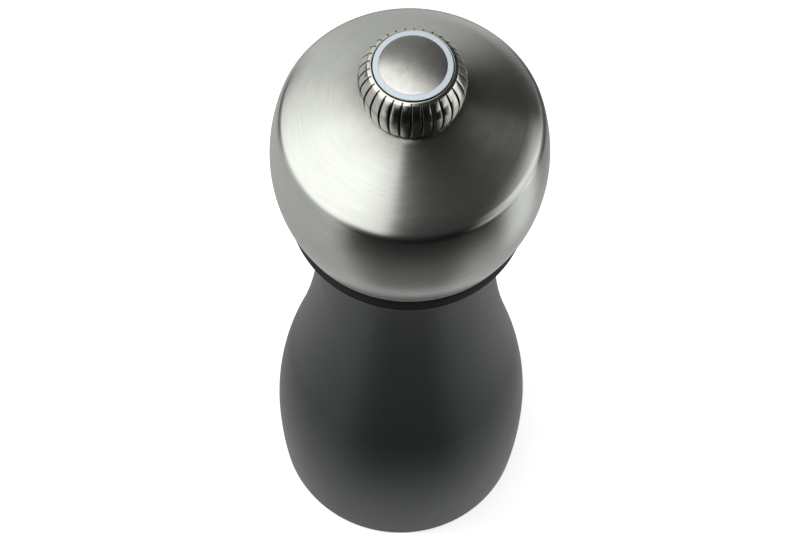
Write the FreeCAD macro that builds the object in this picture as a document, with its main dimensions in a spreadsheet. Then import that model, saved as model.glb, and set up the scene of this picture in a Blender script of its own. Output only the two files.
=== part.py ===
import FreeCAD, Part

# Salt mill turned by its head: a waisted lacquered body, a steel head over a
# moulded core, a fluted knob that sets the grind, and the mechanism below.
# Millimetres, +Z up, origin on the table under the mill's axis.
import math
import os
import re
import Sketcher

Vector = FreeCAD.Vector
Placement = FreeCAD.Placement
Rotation = FreeCAD.Rotation

doc = FreeCAD.newDocument("SaltMill")


# Driving sizes
SIZES = [
    # turned body
    ("body_height", 135.4, "table to the rim of the wooden body"),
    ("foot_tuck", 1.0, "how far the foot draws in under the belly"),
    ("foot_round", 1.5, "rounding of the foot's edge"),
    ("belly_radius", 33.8, "widest place of the body"),
    ("belly_height", 23.0, "table to the widest place"),
    ("belly_curve", 140.0, "radius of the belly's outline above its widest place"),
    ("waist_radius", 21.8, "narrowest place of the body"),
    ("flare_height", 14.4, "waist to the rim"),
    ("rim_inset", 0.7, "rim inside the black band"),
    ("rim_round", 0.5, "rounding of the rim's edge"),
    ("chamber_gap", 0.3, "between the head's plug and the wood of the salt bore"),
    # neck bush
    ("bush_wall", 2.64, "wall of the sleeve in the wood"),
    ("bush_sleeve_length", 7.0, "sleeve below the rim"),
    ("bush_flange_inset", 0.3, "flange on the rim, inside the black band"),
    ("bush_flange_thickness", 1.2, "flange the head runs on"),
    ("bush_flange_round", 0.3, "rounding of the flange's edge"),
    ("bush_fit", 0.1, "between sleeve and wood"),
    ("head_gap", 0.3, "between flange and head ring"),
    # head ring and plug
    ("ring_height", 4.5, "black band under the steel"),
    ("band_inset", 0.6, "band inside the steel above it"),
    ("ring_wall", 1.9, "wall of the band"),
    ("ring_web", 1.5, "floor inside the band"),
    ("boss_gap", 0.2, "between the screw bosses and the ring's floor"),
    ("ring_round", 0.4, "rounding of the band's lower edge"),
    ("spigot_inset", 2.4, "step of the ring inside the band's outside"),
    ("spigot_wall", 1.9, "wall of the step"),
    ("spigot_height", 3.0, "height of the step"),
    ("plug_radius", 17.2, "journal that turns in the neck bush"),
    ("plug_wall", 2.6, "wall of the journal"),
    ("plug_floor", 2.6, "floor of the plug"),
    ("plug_length", 11.4, "journal below the plug's disc"),
    ("plug_disc_inset", 0.8, "disc that holds the ring up, inside the band's wall"),
    ("plug_disc_thickness", 2.1, "thickness of that disc"),
    ("running_gap", 0.06, "round parts that turn in each other"),
    ("plug_round", 0.8, "rounding of the journal's lower edge"),
    # steel head
    ("steel_thickness", 0.8, "pressed sheet"),
    ("belt_radius", 32.5, "widest place of the head"),
    ("belt_rise", 18.1, "steel edge to the widest place"),
    ("belt_lower_curve", 50.0, "radius of the outline below the belt"),
    ("belt_upper_curve", 62.0, "radius of the outline above the belt"),
    ("crease_rise", 34.2, "steel edge to the crease"),
    ("crease_round", 4.0, "rounding of the crease"),
    ("seat_rise", 44.9, "steel edge to the knob's seat"),
    ("seat_inset", 1.0, "flat under the knob, inside the knob's underside"),
    ("edge_roll", 1.0, "rolled lower edge"),
    ("lip_gap", 0.3, "between the ring's step and the lip turned in under the head"),
    # head core
    ("core_gap", 0.15, "between steel and core"),
    ("core_wall", 2.6, "wall of the moulding"),
    ("core_crease_drop", 2.4, "crease of the steel to that of the core"),
    ("core_foot_gap", 0.4, "between the ring's step and the core's lower edge"),
    ("hub_radius", 8.2, "hub round the shaft"),
    ("hub_rise", 6.0, "steel edge to the hub's lower end"),
    ("shaft_way_gap", 0.36, "between the rod's corners and its round ways"),
    ("rib_thickness", 1.8, "ribs between hub and wall"),
    ("rib_rise", 12.0, "steel edge to the ribs"),
    ("rib_count", 6, "ribs"),
    ("boss_radius", 2.9, "screw bosses"),
    ("boss_inset", 6.4, "boss centres inside the edge of the plug's disc"),
    # drive plate
    ("drive_plate_radius", 10.5, "plate that turns the shaft"),
    ("drive_plate_thickness", 1.6, "its thickness"),
    ("drive_screw_circle", 7.6, "its screws' distance from the axis"),
    # shaft
    ("shaft_side", 5.0, "square rod"),
    ("rod_end", 0.6, "rod below the clip"),
    ("shaft_chamfer", 0.4, "chamfer at the ends"),
    ("square_fit", 0.04, "square holes fixed on the rod, each side"),
    ("square_slide", 0.1, "square holes that slide on the rod, each side"),
    ("thread_relief", 0.05, "turned upper end, inside the rod's flats"),
    ("thread_spare", 0.7, "insert above the rod's end"),
    ("thread_start", 3.3, "thread below the knob's seat"),
    # knob
    ("washer_inset", 1.2, "washer under the knob, inside the seat"),
    ("washer_thickness", 0.6, "its thickness"),
    ("knob_height", 12.1, "washer to the knob's rim"),
    ("knob_foot_tuck", 1.4, "how far the underside draws in"),
    ("knob_foot_round", 0.6, "rounding of its lower edge"),
    ("knob_radius", 12.2, "widest place of the knob"),
    ("knob_belt_rise", 6.1, "underside to the widest place"),
    ("shoulder_tuck", 2.15, "how far the knob draws in up to its rim"),
    ("rim_bevel", 0.4, "height of the bevel"),
    ("flute_width", 0.56, "grooves round the knob"),
    ("flute_depth", 0.36, "their depth at the belt"),
    ("flute_count", 30, "grooves"),
    ("flute_dip", 0.15, "the grooves' floor inside the shoulder, so they notch the rim"),
    ("flute_foot_depth", 0.14, "their depth at the knob's foot"),
    ("flute_runout", 3.0, "how far their cutter runs past the shoulder, degrees"),
    ("rim_width", 0.95, "width of the bevelled rim"),
    ("recess_depth", 0.8, "depth of the recess"),
    ("disc_gap", 0.23, "between disc and recess"),
    ("disc_thickness", 1.1, "disc at its edge"),
    ("disc_crown", 0.7, "how much the disc is domed"),
    ("enamel_width", 1.25, "pale ring let into the disc's edge"),
    ("enamel_depth", 0.4, "its thickness at the edge"),
    ("enamel_fit", 0.02, "between ring and disc"),
    ("insert_radius", 3.5, "brass insert in the knob"),
    ("socket_floor", 1.5, "knob above the insert's socket"),
    ("insert_fit", 0.05, "between insert and socket"),
    # mechanism housing
    ("plate_recess", 4.0, "table to the housing's flange"),
    ("flange_margin", 2.8, "flange screwed to the body, outside its screws"),
    ("housing_flange_thickness", 2.0, "its thickness"),
    ("housing_wall", 4.4, "wall of the barrel round the stator"),
    ("housing_fit", 0.2, "between housing and wood"),
    ("housing_headroom", 0.3, "between housing and shoulder"),
    ("throat_inset", 1.9, "throat above the stator, inside the stator's outside"),
    ("stator_radius", 17.4, "outside of the stator"),
    ("stator_height", 12.0, "height of the stator"),
    ("stator_fit", 0.05, "between stator and housing"),
    ("stator_step", 0.3, "flange face to the stator's lower face"),
    # rotor
    ("rotor_drop", 0.2, "rotor's lower face below the housing's"),
    ("rotor_radius", 12.4, "tips of the fine teeth, below"),
    ("rotor_neck_radius", 10.6, "tips of the fine teeth, above"),
    ("rotor_fine_height", 8.0, "height of the fine teeth"),
    ("rotor_height", 15.0, "whole height"),
    ("rotor_top_radius", 6.9, "upper end of the lobes"),
    ("fine_tooth_count", 36, "fine teeth of rotor and stator"),
    ("fine_tooth_depth", 0.9, "their depth"),
    ("rotor_lobe_count", 6, "helical lobes that draw the grains in"),
    ("rotor_lobe_depth", 2.6, "their depth, below"),
    ("rotor_lobe_top_depth", 0.5, "their depth, above"),
    ("grinding_gap", 0.4, "between rotor and stator, across"),
    ("stator_mouth_radius", 13.6, "tips at the stator's mouth"),
    ("stator_tooth_count", 12, "coarse teeth at the mouth"),
    ("stator_tooth_depth", 1.6, "their depth"),
    ("fine_twist", 14.0, "twist of the fine teeth, degrees"),
    ("lobe_twist", 50.0, "twist of the lobes, degrees"),
    ("clip_radius", 6.4, "clip under the rotor"),
    ("clip_thickness", 0.8, "its thickness"),
    # spring and its seats
    ("spring_length", 6.25, "room for the spring between its seats"),
    ("spring_washer_radius", 6.6, "washer on the rotor"),
    ("spring_washer_thickness", 0.8, "its thickness"),
    ("spring_radius", 5.2, "middle of the wire"),
    ("spring_wire", 0.8, "thickness of the wire"),
    ("spring_turns", 4, "turns"),
    ("spring_end_gap", 0.05, "between wire and washer"),
    # bridge and shaft bush
    ("bridge_thickness", 1.6, "stamped bridge"),
    ("bridge_step", 1.0, "bridge outside the stator's outside"),
    ("bridge_band", 2.2, "width of its outer band"),
    ("bridge_hub_radius", 7.4, "its hub"),
    ("bridge_arm_width", 4.0, "its arms"),
    ("bridge_arm_count", 3, "arms"),
    ("bridge_fit", 0.1, "between bridge and housing"),
    ("shaft_bush_radius", 4.9, "journal in the bridge"),
    ("shaft_bush_flange_radius", 7.0, "its flange under the bridge"),
    ("shaft_bush_flange_thickness", 1.2, "thickness of that flange"),
    ("shaft_bush_proud", 0.8, "journal above the bridge"),
    ("thrust_gap", 0.05, "between flange and bridge"),
    # screws
    ("base_screw_step", 3.4, "base screws outside the housing's barrel"),
    ("base_screw_radius", 1.4, "shank of a base screw"),
    ("base_screw_head_radius", 2.4, "head of a base screw"),
    ("base_screw_head_depth", 1.0, "countersink of a base screw"),
    ("base_screw_length", 12.0, "length of a base screw"),
    ("plug_screw_radius", 1.4, "shank of a head screw"),
    ("plug_screw_head_radius", 2.4, "its head"),
    ("plug_screw_head_depth", 1.0, "its countersink"),
    ("plug_screw_length", 13.0, "its length"),
    ("drive_screw_radius", 1.0, "shank of a plate screw"),
    ("drive_screw_head_radius", 1.8, "its head"),
    ("drive_screw_head_depth", 0.8, "its countersink"),
    ("drive_screw_length", 3.8, "its length"),
    ("screw_count", 3, "base screws, and head screws"),
    ("drive_screw_count", 2, "plate screws"),
    ("screw_fit", 0.05, "hole round a screw"),
    ("screw_slot", 0.5, "width of the cross recess"),
]

# Places worked out from the driving sizes, heights from the table
PLACES = [
    ("edge_radius", "belt_radius - belt_lower_curve"
     " + sqrt(belt_lower_curve^2 - (belt_rise - edge_roll)^2)", "steel above its rolled edge"),
    ("edge_inside", "belt_radius - belt_lower_curve + sqrt((belt_lower_curve - steel_thickness)^2"
     " - (belt_rise - edge_roll)^2)", "its inside there"),
    ("ring_radius", "edge_radius - band_inset", "outside of the black band"),
    ("rim_radius", "ring_radius - rim_inset", "rim under the head"),
    ("foot_radius", "belly_radius - foot_tuck", "foot, at the table"),
    ("waist_height", "body_height - flare_height", "table to the waist"),
    ("chamber_radius", "plug_radius + chamber_gap", "bore that holds the salt"),
    ("bush_sleeve_radius", "plug_radius + running_gap + bush_wall", "neck bush in the wood"),
    ("bush_flange_radius", "ring_radius - bush_flange_inset", "flange of the neck bush"),
    ("spigot_radius", "ring_radius - spigot_inset", "step of the ring inside the steel"),
    ("lip_radius", "spigot_radius + lip_gap", "inside of the steel's lip"),
    ("plug_disc_radius", "ring_radius - ring_wall - plug_disc_inset", "disc of the plug"),
    ("boss_circle", "plug_disc_radius - boss_inset", "screw bosses from the axis"),
    ("ring_bore_radius", "boss_circle + boss_radius + boss_gap", "hole in the ring's floor"),
    ("core_foot_rise", "spigot_height + core_foot_gap", "steel edge to the core's lower edge"),
    ("shaft_way_radius", "shaft_side * sqrt(0.5) + shaft_way_gap", "round ways for the rod"),
    ("thread_radius", "shaft_side / 2 - thread_relief", "turned upper end, over the thread"),
    ("knob_foot_radius", "knob_radius - knob_foot_tuck", "knob's underside"),
    ("knob_shoulder_radius", "knob_radius - shoulder_tuck", "foot of the bevelled rim"),
    ("recess_radius", "knob_shoulder_radius - rim_width", "recess for the disc"),
    ("seat_radius", "knob_foot_radius - seat_inset", "flat under the knob"),
    ("washer_radius", "seat_radius - washer_inset", "washer under the knob"),
    ("shoulder_rise", "knob_height - rim_bevel", "underside of the knob to its shoulder"),
    ("insert_length", "knob_height - recess_depth - socket_floor", "the insert's socket"),
    ("thread_reach", "washer_thickness + insert_length - thread_spare", "rod above the seat"),
    ("housing_radius", "stator_radius + housing_wall", "barrel of the housing"),
    ("base_screw_circle", "housing_radius + base_screw_step", "base screws from the axis"),
    ("housing_flange_radius", "base_screw_circle + flange_margin", "flange of the housing"),
    ("throat_radius", "stator_radius - throat_inset", "throat above the stator"),
    ("bridge_radius", "stator_radius + bridge_step", "outside of the bridge"),
    ("housing_height", "rotor_height - rotor_drop + spring_washer_thickness + spring_length"
     " + shaft_bush_flange_thickness + thrust_gap + bridge_thickness",
     "flange to the top of the barrel"),
    ("foot_edge", "min(foot_round; 0.6 * (foot_radius - housing_flange_radius - housing_fit))",
     "rounding of the foot's edge, within its wall"),
    ("bush_place", "body_height - bush_sleeve_length", "lower end of the neck bush"),
    ("ring_place", "body_height + bush_flange_thickness + head_gap", "lower edge of the ring"),
    ("steel_place", "ring_place + ring_height", "lower edge of the steel"),
    ("seat_place", "steel_place + seat_rise", "the knob's seat"),
    ("knob_place", "seat_place + washer_thickness", "underside of the knob"),
    ("disc_place", "knob_place + knob_height - recess_depth", "underside of the disc"),
    ("plug_place", "ring_place + ring_height - ring_web - plug_disc_thickness - plug_length",
     "lower end of the plug"),
    ("drive_place", "plug_place - drive_plate_thickness", "underside of the drive plate"),
    ("shoulder_height", "plate_recess + housing_height + housing_headroom",
     "shoulder above the housing"),
    ("belly_sweep", "((belly_radius - waist_radius)^2 + (waist_height - belly_height)^2)"
     " / (2 * (belly_radius - waist_radius))", "belly and waist radii together"),
    ("waist_curve", "belly_sweep - belly_curve", "radius of the waist's outline"),
    ("flow_radius", "belly_radius - (belly_radius - waist_radius) * belly_curve / belly_sweep",
     "where the belly turns into the waist"),
    ("flow_height", "belly_height + (waist_height - belly_height) * belly_curve / belly_sweep",
     "its height"),
    ("foot_curve", "(foot_tuck^2 + (belly_height - foot_edge)^2) / (2 * foot_tuck)",
     "radius of the outline below the belly"),
    ("rim_curve", "((rim_radius - waist_radius)^2 + (body_height - rim_round - waist_height)^2)"
     " / (2 * (rim_radius - waist_radius))", "radius of the flare above the waist"),
    ("crease_radius", "belt_radius - belt_upper_curve"
     " + sqrt(belt_upper_curve^2 - (crease_rise - belt_rise)^2)", "crease before rounding"),
    ("cone_run", "crease_radius - seat_radius", "the cone from crease to seat, across"),
    ("cone_drop", "seat_rise - crease_rise", "the same, upright"),
    ("cone_slant", "sqrt(cone_run^2 + cone_drop^2)", "the same, along the steel"),
    ("seat_inside", "seat_radius - steel_thickness * (cone_slant - cone_run) / cone_drop",
     "the seat's edge inside the sheet"),
    ("inside_across", "seat_inside - belt_radius + belt_upper_curve",
     "from the centre of the upper outline to that edge, across"),
    ("inside_up", "seat_rise - steel_thickness - belt_rise", "the same, upright"),
    ("inside_along", "(inside_across * cone_run - inside_up * cone_drop) / cone_slant",
     "the same, along the cone"),
    ("inside_slant", "sqrt((belt_upper_curve - steel_thickness)^2 - inside_across^2 - inside_up^2"
     " + inside_along^2) - inside_along", "the cone inside the sheet, from seat to crease"),
    ("crease_inside", "seat_inside + inside_slant * cone_run / cone_slant",
     "crease inside the sheet"),
    ("crease_inside_rise", "seat_rise - steel_thickness - inside_slant * cone_drop / cone_slant",
     "its height over the steel's edge"),
    ("core_inset", "steel_thickness + core_gap", "core inside the steel"),
    ("core_crease_rise", "crease_rise - core_crease_drop", "the core's crease"),
    ("core_crease_radius", "belt_radius - belt_upper_curve + sqrt((belt_upper_curve - core_inset)^2"
     " - (core_crease_rise - belt_rise)^2)", "its radius"),
    ("core_foot_radius", "belt_radius - belt_lower_curve + sqrt((belt_lower_curve - core_inset)^2"
     " - (belt_rise - core_foot_rise)^2)", "its radius"),
    ("core_top", "seat_rise - core_inset", "top of the core"),
    ("rotor_place", "plate_recess - rotor_drop", "lower face of the rotor"),
    ("shaft_end", "rotor_place - clip_thickness - rod_end", "lower end of the rod"),
    ("spring_washer_place", "rotor_place + rotor_height", "washer on the rotor"),
    ("bridge_place", "plate_recess + housing_height - bridge_thickness", "underside of the bridge"),
    ("shaft_bush_place", "bridge_place - thrust_gap - shaft_bush_flange_thickness",
     "underside of the shaft bush"),
    ("flute_radius", "flute_width / 2", "radius of the grooves' cutter"),
    ("knob_lower_curve", "((knob_radius - knob_foot_radius - knob_foot_round)^2"
     " + (knob_belt_rise - knob_foot_round)^2)"
     " / (2 * (knob_radius - knob_foot_radius - knob_foot_round))", "outline below the knob's belt"),
    ("knob_upper_curve", "((knob_radius - knob_shoulder_radius)^2"
     " + (shoulder_rise - knob_belt_rise)^2) / (2 * (knob_radius - knob_shoulder_radius))",
     "outline above the knob's belt"),
    ("flute_step", "knob_radius - flute_depth - knob_shoulder_radius + flute_dip",
     "how far the grooves' floor draws in up to the shoulder"),
    ("flute_curve", "(flute_step^2 + (shoulder_rise - knob_belt_rise)^2) / (2 * flute_step)",
     "radius of that floor"),
    ("flute_foot_step", "knob_radius - flute_depth - knob_foot_radius - knob_foot_round"
     " + flute_foot_depth", "how far it draws in down to the foot"),
    ("flute_foot_curve", "(flute_foot_step^2 + (knob_belt_rise - knob_foot_round)^2)"
     " / (2 * flute_foot_step)", "its radius below the belt"),
    ("disc_radius", "recess_radius - disc_gap", "the knob's disc"),
    ("disc_curve", "(disc_radius^2 + disc_crown^2) / (2 * disc_crown)", "dome of the disc"),
    ("enamel_radius", "disc_radius - enamel_width", "inside of the pale ring"),
    ("enamel_rise", "disc_thickness + disc_crown - disc_curve"
     " + sqrt(disc_curve^2 - enamel_radius^2)", "dome at the ring's inside"),
    ("inlay_radius", "enamel_radius - enamel_fit", "step of the disc for the ring"),
    ("inlay_rise", "disc_thickness + disc_crown - disc_curve"
     " + sqrt(disc_curve^2 - inlay_radius^2)", "dome at that step"),
]


# The two sheets
def fill_sheet(sheet, rows):
    for row, (alias, content, meaning) in enumerate(rows, start=1):
        sheet.set("A%d" % row, alias)
        sheet.set("B%d" % row, content)
        sheet.set("C%d" % row, meaning)
        sheet.setAlias("B%d" % row, alias)


def bound(text):
    """Write a formula of plain names as one that points into the sheets."""
    def full(match):
        name = match.group(0)
        if name in SIZE_NAMES:
            return "Sizes." + name
        if name in PLACE_NAMES:
            return "Places." + name
        return name
    return re.sub(r"[a-z_]+", full, text)


SIZE_NAMES = {row[0] for row in SIZES}
PLACE_NAMES = {row[0] for row in PLACES}

sizes = doc.addObject("Spreadsheet::Sheet", "Sizes")
fill_sheet(sizes, [(alias, str(number), meaning) for alias, number, meaning in SIZES])
doc.recompute()
places = doc.addObject("Spreadsheet::Sheet", "Places")
fill_sheet(places, [(alias, "=" + bound(text), meaning) for alias, text, meaning in PLACES])
doc.recompute()


def value(text):
    """The number that a formula of sizes and places gives."""
    return float(sizes.evalExpression(bound(text)))


def count(text):
    return int(round(value(text)))


# Bodies, sketches and features
nodes = {}


def new_body(label, height="0"):
    """A body whose own base plane lies at the given height above the table."""
    body = doc.addObject("PartDesign::Body", label)
    body.Label = label
    body.setExpression(".Placement.Base.z", bound(height))
    nodes[label] = body
    return body


def origin_part(body, role):
    for feature in body.Origin.OriginFeatures:
        if feature.Role == role:
            return feature
    raise ValueError(role)


def new_sketch(body, name, plane, rise="0"):
    sketch = body.newObject("Sketcher::SketchObject", name)
    sketch.AttachmentSupport = [(origin_part(body, plane), "")]
    sketch.MapMode = "FlatFace"
    sketch.setExpression(".AttachmentOffset.Base.z", bound(rise))
    return sketch


def pin(sketch, curve, end, across, up):
    """Tie one end of a curve to formulas for its two coordinates."""
    for kind, text, axis in (("DistanceX", across, -2), ("DistanceY", up, -1)):
        if text == "0":
            sketch.addConstraint(Sketcher.Constraint("PointOnObject", curve, end, axis))
            continue
        rule = Sketcher.Constraint(kind, -1, 1, curve, end, value(text))
        number = sketch.addConstraint(rule)
        sketch.setExpression("Constraints[%d]" % number, bound(text))


def arc_middle(start, finish, radius, side):
    """Middle of the arc between two points, side +1 bulging to the right of the way."""
    chord = finish - start
    half = chord.Length / 2
    rise = radius - math.sqrt(max(radius * radius - half * half, 0.0))
    right = Vector(chord.y, -chord.x, 0).normalize()
    return (start + finish) / 2 + right * (rise * side)


def outline(sketch, corners):
    """A closed outline through corners given as formulas, anticlockwise.

    A corner is (across, up) or (across, up, "round" or "hollow", radius): the
    edge that leaves it is then an arc that adds or removes material.
    """
    spots = [Vector(value(c[0]), value(c[1]), 0) for c in corners]
    ends = []
    for index, corner in enumerate(corners):
        start = spots[index]
        finish = spots[(index + 1) % len(spots)]
        if len(corner) == 2:
            curve = sketch.addGeometry(Part.LineSegment(start, finish), False)
            ends.append((curve, 1, 2))
            continue
        side = 1 if corner[2] == "round" else -1
        middle = arc_middle(start, finish, value(corner[3]), side)
        curve = sketch.addGeometry(Part.Arc(start, middle, finish), False)
        forward = (sketch.getPoint(curve, 1) - start).Length < 1e-6
        ends.append((curve, 1, 2) if forward else (curve, 2, 1))
    for index, corner in enumerate(corners):
        curve, first, last = ends[index]
        following = ends[(index + 1) % len(ends)]
        sketch.addConstraint(
            Sketcher.Constraint("Coincident", curve, last, following[0], following[1]))
        pin(sketch, curve, first, corner[0], corner[1])
        if len(corner) == 4:
            rule = Sketcher.Constraint("Radius", curve, value(corner[3]))
            number = sketch.addConstraint(rule)
            sketch.setExpression("Constraints[%d]" % number, bound(corner[3]))


def circle(sketch, radius, across="0"):
    """A circle on the sketch's horizontal axis."""
    ring = Part.Circle(Vector(value(across), 0, 0), Vector(0, 0, 1), value(radius))
    curve = sketch.addGeometry(ring, False)
    pin(sketch, curve, 3, across, "0")
    number = sketch.addConstraint(Sketcher.Constraint("Radius", curve, value(radius)))
    sketch.setExpression("Constraints[%d]" % number, bound(radius))


def turned(body, corners):
    """Turn an outline round the body's own upright axis."""
    sketch = new_sketch(body, body.Label + "_outline", "XZ_Plane")
    outline(sketch, corners)
    feature = body.newObject("PartDesign::Revolution", body.Label + "_turned")
    feature.Profile = sketch
    feature.ReferenceAxis = (sketch, ["V_Axis"])
    feature.Angle = 360
    return feature


def hollowed(body, name, corners):
    """Turn material away inside an outline."""
    sketch = new_sketch(body, name + "_outline", "XZ_Plane")
    outline(sketch, corners)
    feature = body.newObject("PartDesign::Groove", name)
    feature.Profile = sketch
    feature.ReferenceAxis = (sketch, ["V_Axis"])
    feature.Angle = 360
    return feature


def primitive(body, kind, name, sizes_of_it, across="0", rise="0", sideways="0"):
    """A PartDesign primitive standing on the body's base plane, moved by formulas."""
    feature = body.newObject("PartDesign::" + kind, name)
    feature.AttachmentSupport = [(origin_part(body, "XY_Plane"), "")]
    feature.MapMode = "FlatFace"
    for key, text in sizes_of_it.items():
        feature.setExpression(key, bound(text))
    feature.setExpression(".AttachmentOffset.Base.x", bound(across))
    feature.setExpression(".AttachmentOffset.Base.y", bound(sideways))
    feature.setExpression(".AttachmentOffset.Base.z", bound(rise))
    return feature


def square_hole(body, name, clearance, height):
    """A square hole for the shaft, right through."""
    side = "shaft_side + 2 * " + clearance
    half = "-(shaft_side / 2 + " + clearance + ")"
    spans = {"Length": side, "Width": side, "Height": height}
    return primitive(body, "SubtractiveBox", name, spans, half, "0", half)


def screw_hole(body, name, screw, circle_radius, depth, rise="0"):
    """A countersunk hole for one screw driven from below."""
    sink = {
        "Radius1": screw + "_head_radius + screw_fit",
        "Radius2": screw + "_radius + screw_fit",
        "Height": screw + "_head_depth",
    }
    shank = {"Radius": screw + "_radius + screw_fit", "Height": depth}
    return [
        primitive(body, "SubtractiveCone", name + "_sink", sink, circle_radius, rise),
        primitive(body, "SubtractiveCylinder", name + "_shank", shank, circle_radius, rise),
    ]


def around(body, name, originals, occurrences):
    """Repeat features round the upright axis."""
    doc.recompute()
    pattern = body.newObject("PartDesign::PolarPattern", name)
    pattern.Originals = originals
    pattern.Axis = (origin_part(body, "Z_Axis"), [""])
    pattern.Angle = 360
    pattern.setExpression("Occurrences", bound(occurrences))
    body.Tip = pattern
    doc.recompute()
    return pattern


def ring_edge(body, radius, rise):
    """Name of the round edge nearest to a radius and a height in the body's own frame."""
    base = body.Placement.Base.z
    best = None
    for index, edge in enumerate(body.Shape.Edges, start=1):
        if not isinstance(edge.Curve, Part.Circle):
            continue
        miss = abs(edge.Curve.Radius - value(radius))
        miss += abs(edge.Curve.Center.z - base - value(rise))
        if best is None or miss < best[0]:
            best = (miss, "Edge%d" % index)
    return best[1]


# Turned body of lacquered wood: outline from foot to rim, bored for salt and mechanism
def make_body_shell():
    body = new_body("body_shell")
    seat = "bush_sleeve_radius + bush_fit"
    barrel = "housing_radius + housing_fit"
    recess = "housing_flange_radius + housing_fit"
    turned(body, [
        (recess, "0"),
        ("foot_radius - foot_edge", "0", "round", "foot_edge"),
        ("foot_radius", "foot_edge", "round", "foot_curve"),
        ("belly_radius", "belly_height", "round", "belly_curve"),
        ("flow_radius", "flow_height", "hollow", "waist_curve"),
        ("waist_radius", "waist_height", "hollow", "rim_curve"),
        ("rim_radius", "body_height - rim_round", "round", "rim_round"),
        ("rim_radius - rim_round", "body_height"),
        (seat, "body_height"),
        (seat, "bush_place - bush_fit"),
        ("chamber_radius", "bush_place - bush_fit"),
        ("chamber_radius", "shoulder_height"),
        (barrel, "shoulder_height"),
        (barrel, "plate_recess + housing_flange_thickness"),
        (recess, "plate_recess + housing_flange_thickness"),
    ])
    pilot = {"Radius": "base_screw_radius + screw_fit", "Height": "base_screw_length"}
    hole = primitive(body, "SubtractiveCylinder", "pilot_hole", pilot,
                     "base_screw_circle", "plate_recess + screw_fit")
    around(body, "pilot_holes", [hole], "screw_count")


# Black bush in the neck: the head turns in its bore and on its flange
def make_neck_bush():
    body = new_body("neck_bush", "bush_place")
    top = "bush_sleeve_length + bush_flange_thickness"
    bore = "plug_radius + running_gap"
    turned(body, [
        (bore, "0"),
        ("bush_sleeve_radius", "0"),
        ("bush_sleeve_radius", "bush_sleeve_length"),
        ("bush_flange_radius", "bush_sleeve_length"),
        ("bush_flange_radius", top + " - bush_flange_round", "round", "bush_flange_round"),
        ("bush_flange_radius - bush_flange_round", top),
        (bore, top),
    ])


# Moulded housing of the mechanism, screwed up into the body
def make_mechanism_housing():
    body = new_body("mechanism_housing", "plate_recess")
    stator_bore = "stator_radius + stator_fit"
    stator_top = "stator_step + stator_height + stator_fit"
    ledge = "housing_height - bridge_thickness"
    turned(body, [
        (stator_bore, "0"),
        ("housing_flange_radius", "0"),
        ("housing_flange_radius", "housing_flange_thickness"),
        ("housing_radius", "housing_flange_thickness"),
        ("housing_radius", "housing_height"),
        ("bridge_radius + bridge_fit", "housing_height"),
        ("bridge_radius + bridge_fit", ledge),
        ("throat_radius", ledge),
        ("throat_radius", stator_top),
        (stator_bore, stator_top),
    ])
    holes = screw_hole(body, "flange_hole", "base_screw", "base_screw_circle",
                       "housing_flange_thickness")
    around(body, "flange_holes", holes, "screw_count")


# Stamped bridge over the throat: it centres the shaft and lets the salt fall past
def make_bridge():
    body = new_body("bridge", "bridge_place")
    sketch = new_sketch(body, "bridge_band_outline", "XY_Plane")
    circle(sketch, "bridge_radius")
    circle(sketch, "bridge_radius - bridge_band")
    band = body.newObject("PartDesign::Pad", "bridge_band_pad")
    band.Profile = sketch
    band.setExpression("Length", bound("bridge_thickness"))
    spans = {
        "Length": "bridge_radius - bridge_band / 2",
        "Width": "bridge_arm_width",
        "Height": "bridge_thickness",
    }
    arm = primitive(body, "AdditiveBox", "bridge_arm", spans, "0", "0", "-bridge_arm_width / 2")
    around(body, "bridge_arms", [arm], "bridge_arm_count")
    hub = {"Radius": "bridge_hub_radius", "Height": "bridge_thickness"}
    primitive(body, "AdditiveCylinder", "bridge_hub", hub)
    bore = {"Radius": "shaft_bush_radius + running_gap", "Height": "bridge_thickness"}
    primitive(body, "SubtractiveCylinder", "bridge_bore", bore)


# Square-holed bush: it turns with the shaft in the bridge, and the spring bears on it
def make_shaft_bush():
    body = new_body("shaft_bush", "shaft_bush_place")
    top = ("shaft_bush_flange_thickness + thrust_gap + bridge_thickness + shaft_bush_proud")
    turned(body, [
        ("0", "0"),
        ("shaft_bush_flange_radius", "0"),
        ("shaft_bush_flange_radius", "shaft_bush_flange_thickness"),
        ("shaft_bush_radius", "shaft_bush_flange_thickness"),
        ("shaft_bush_radius", top),
        ("0", top),
    ])
    square_hole(body, "shaft_bush_square", "square_slide", top)


# Coil spring that presses the rotor down, away from the stator
def make_spring():
    body = new_body("spring", "spring_washer_place + spring_washer_thickness")
    sketch = new_sketch(body, "spring_wire_outline", "XZ_Plane")
    wire = Part.Circle(Vector(value("spring_radius"), value("spring_wire / 2 + spring_end_gap"), 0),
                       Vector(0, 0, 1), value("spring_wire / 2"))
    curve = sketch.addGeometry(wire, False)
    pin(sketch, curve, 3, "spring_radius", "spring_wire / 2 + spring_end_gap")
    number = sketch.addConstraint(
        Sketcher.Constraint("Radius", curve, value("spring_wire / 2")))
    sketch.setExpression("Constraints[%d]" % number, bound("spring_wire / 2"))
    coil = body.newObject("PartDesign::AdditiveHelix", "spring_coil")
    coil.Profile = sketch
    coil.ReferenceAxis = (sketch, ["V_Axis"])
    coil.Mode = "height-turns-angle"
    climb = "spring_length - spring_wire - 2 * spring_end_gap"
    coil.setExpression("Height", bound(climb))
    coil.setExpression("Turns", bound("spring_turns"))
    steps = 36
    rise = value(climb) / value("spring_turns") / steps
    line = []
    for step in range(count("spring_turns") * steps + 1):
        angle = 2 * math.pi * step / steps
        line.append(Vector(value("spring_radius") * math.cos(angle),
                           value("spring_radius") * math.sin(angle), rise * step))
    least = min((line[far] - line[near]).Length
                for near in range(len(line)) for far in range(near + steps // 2, len(line)))
    print("spring: least gap to itself %.2f mm" % (least - value("spring_wire")))


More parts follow.
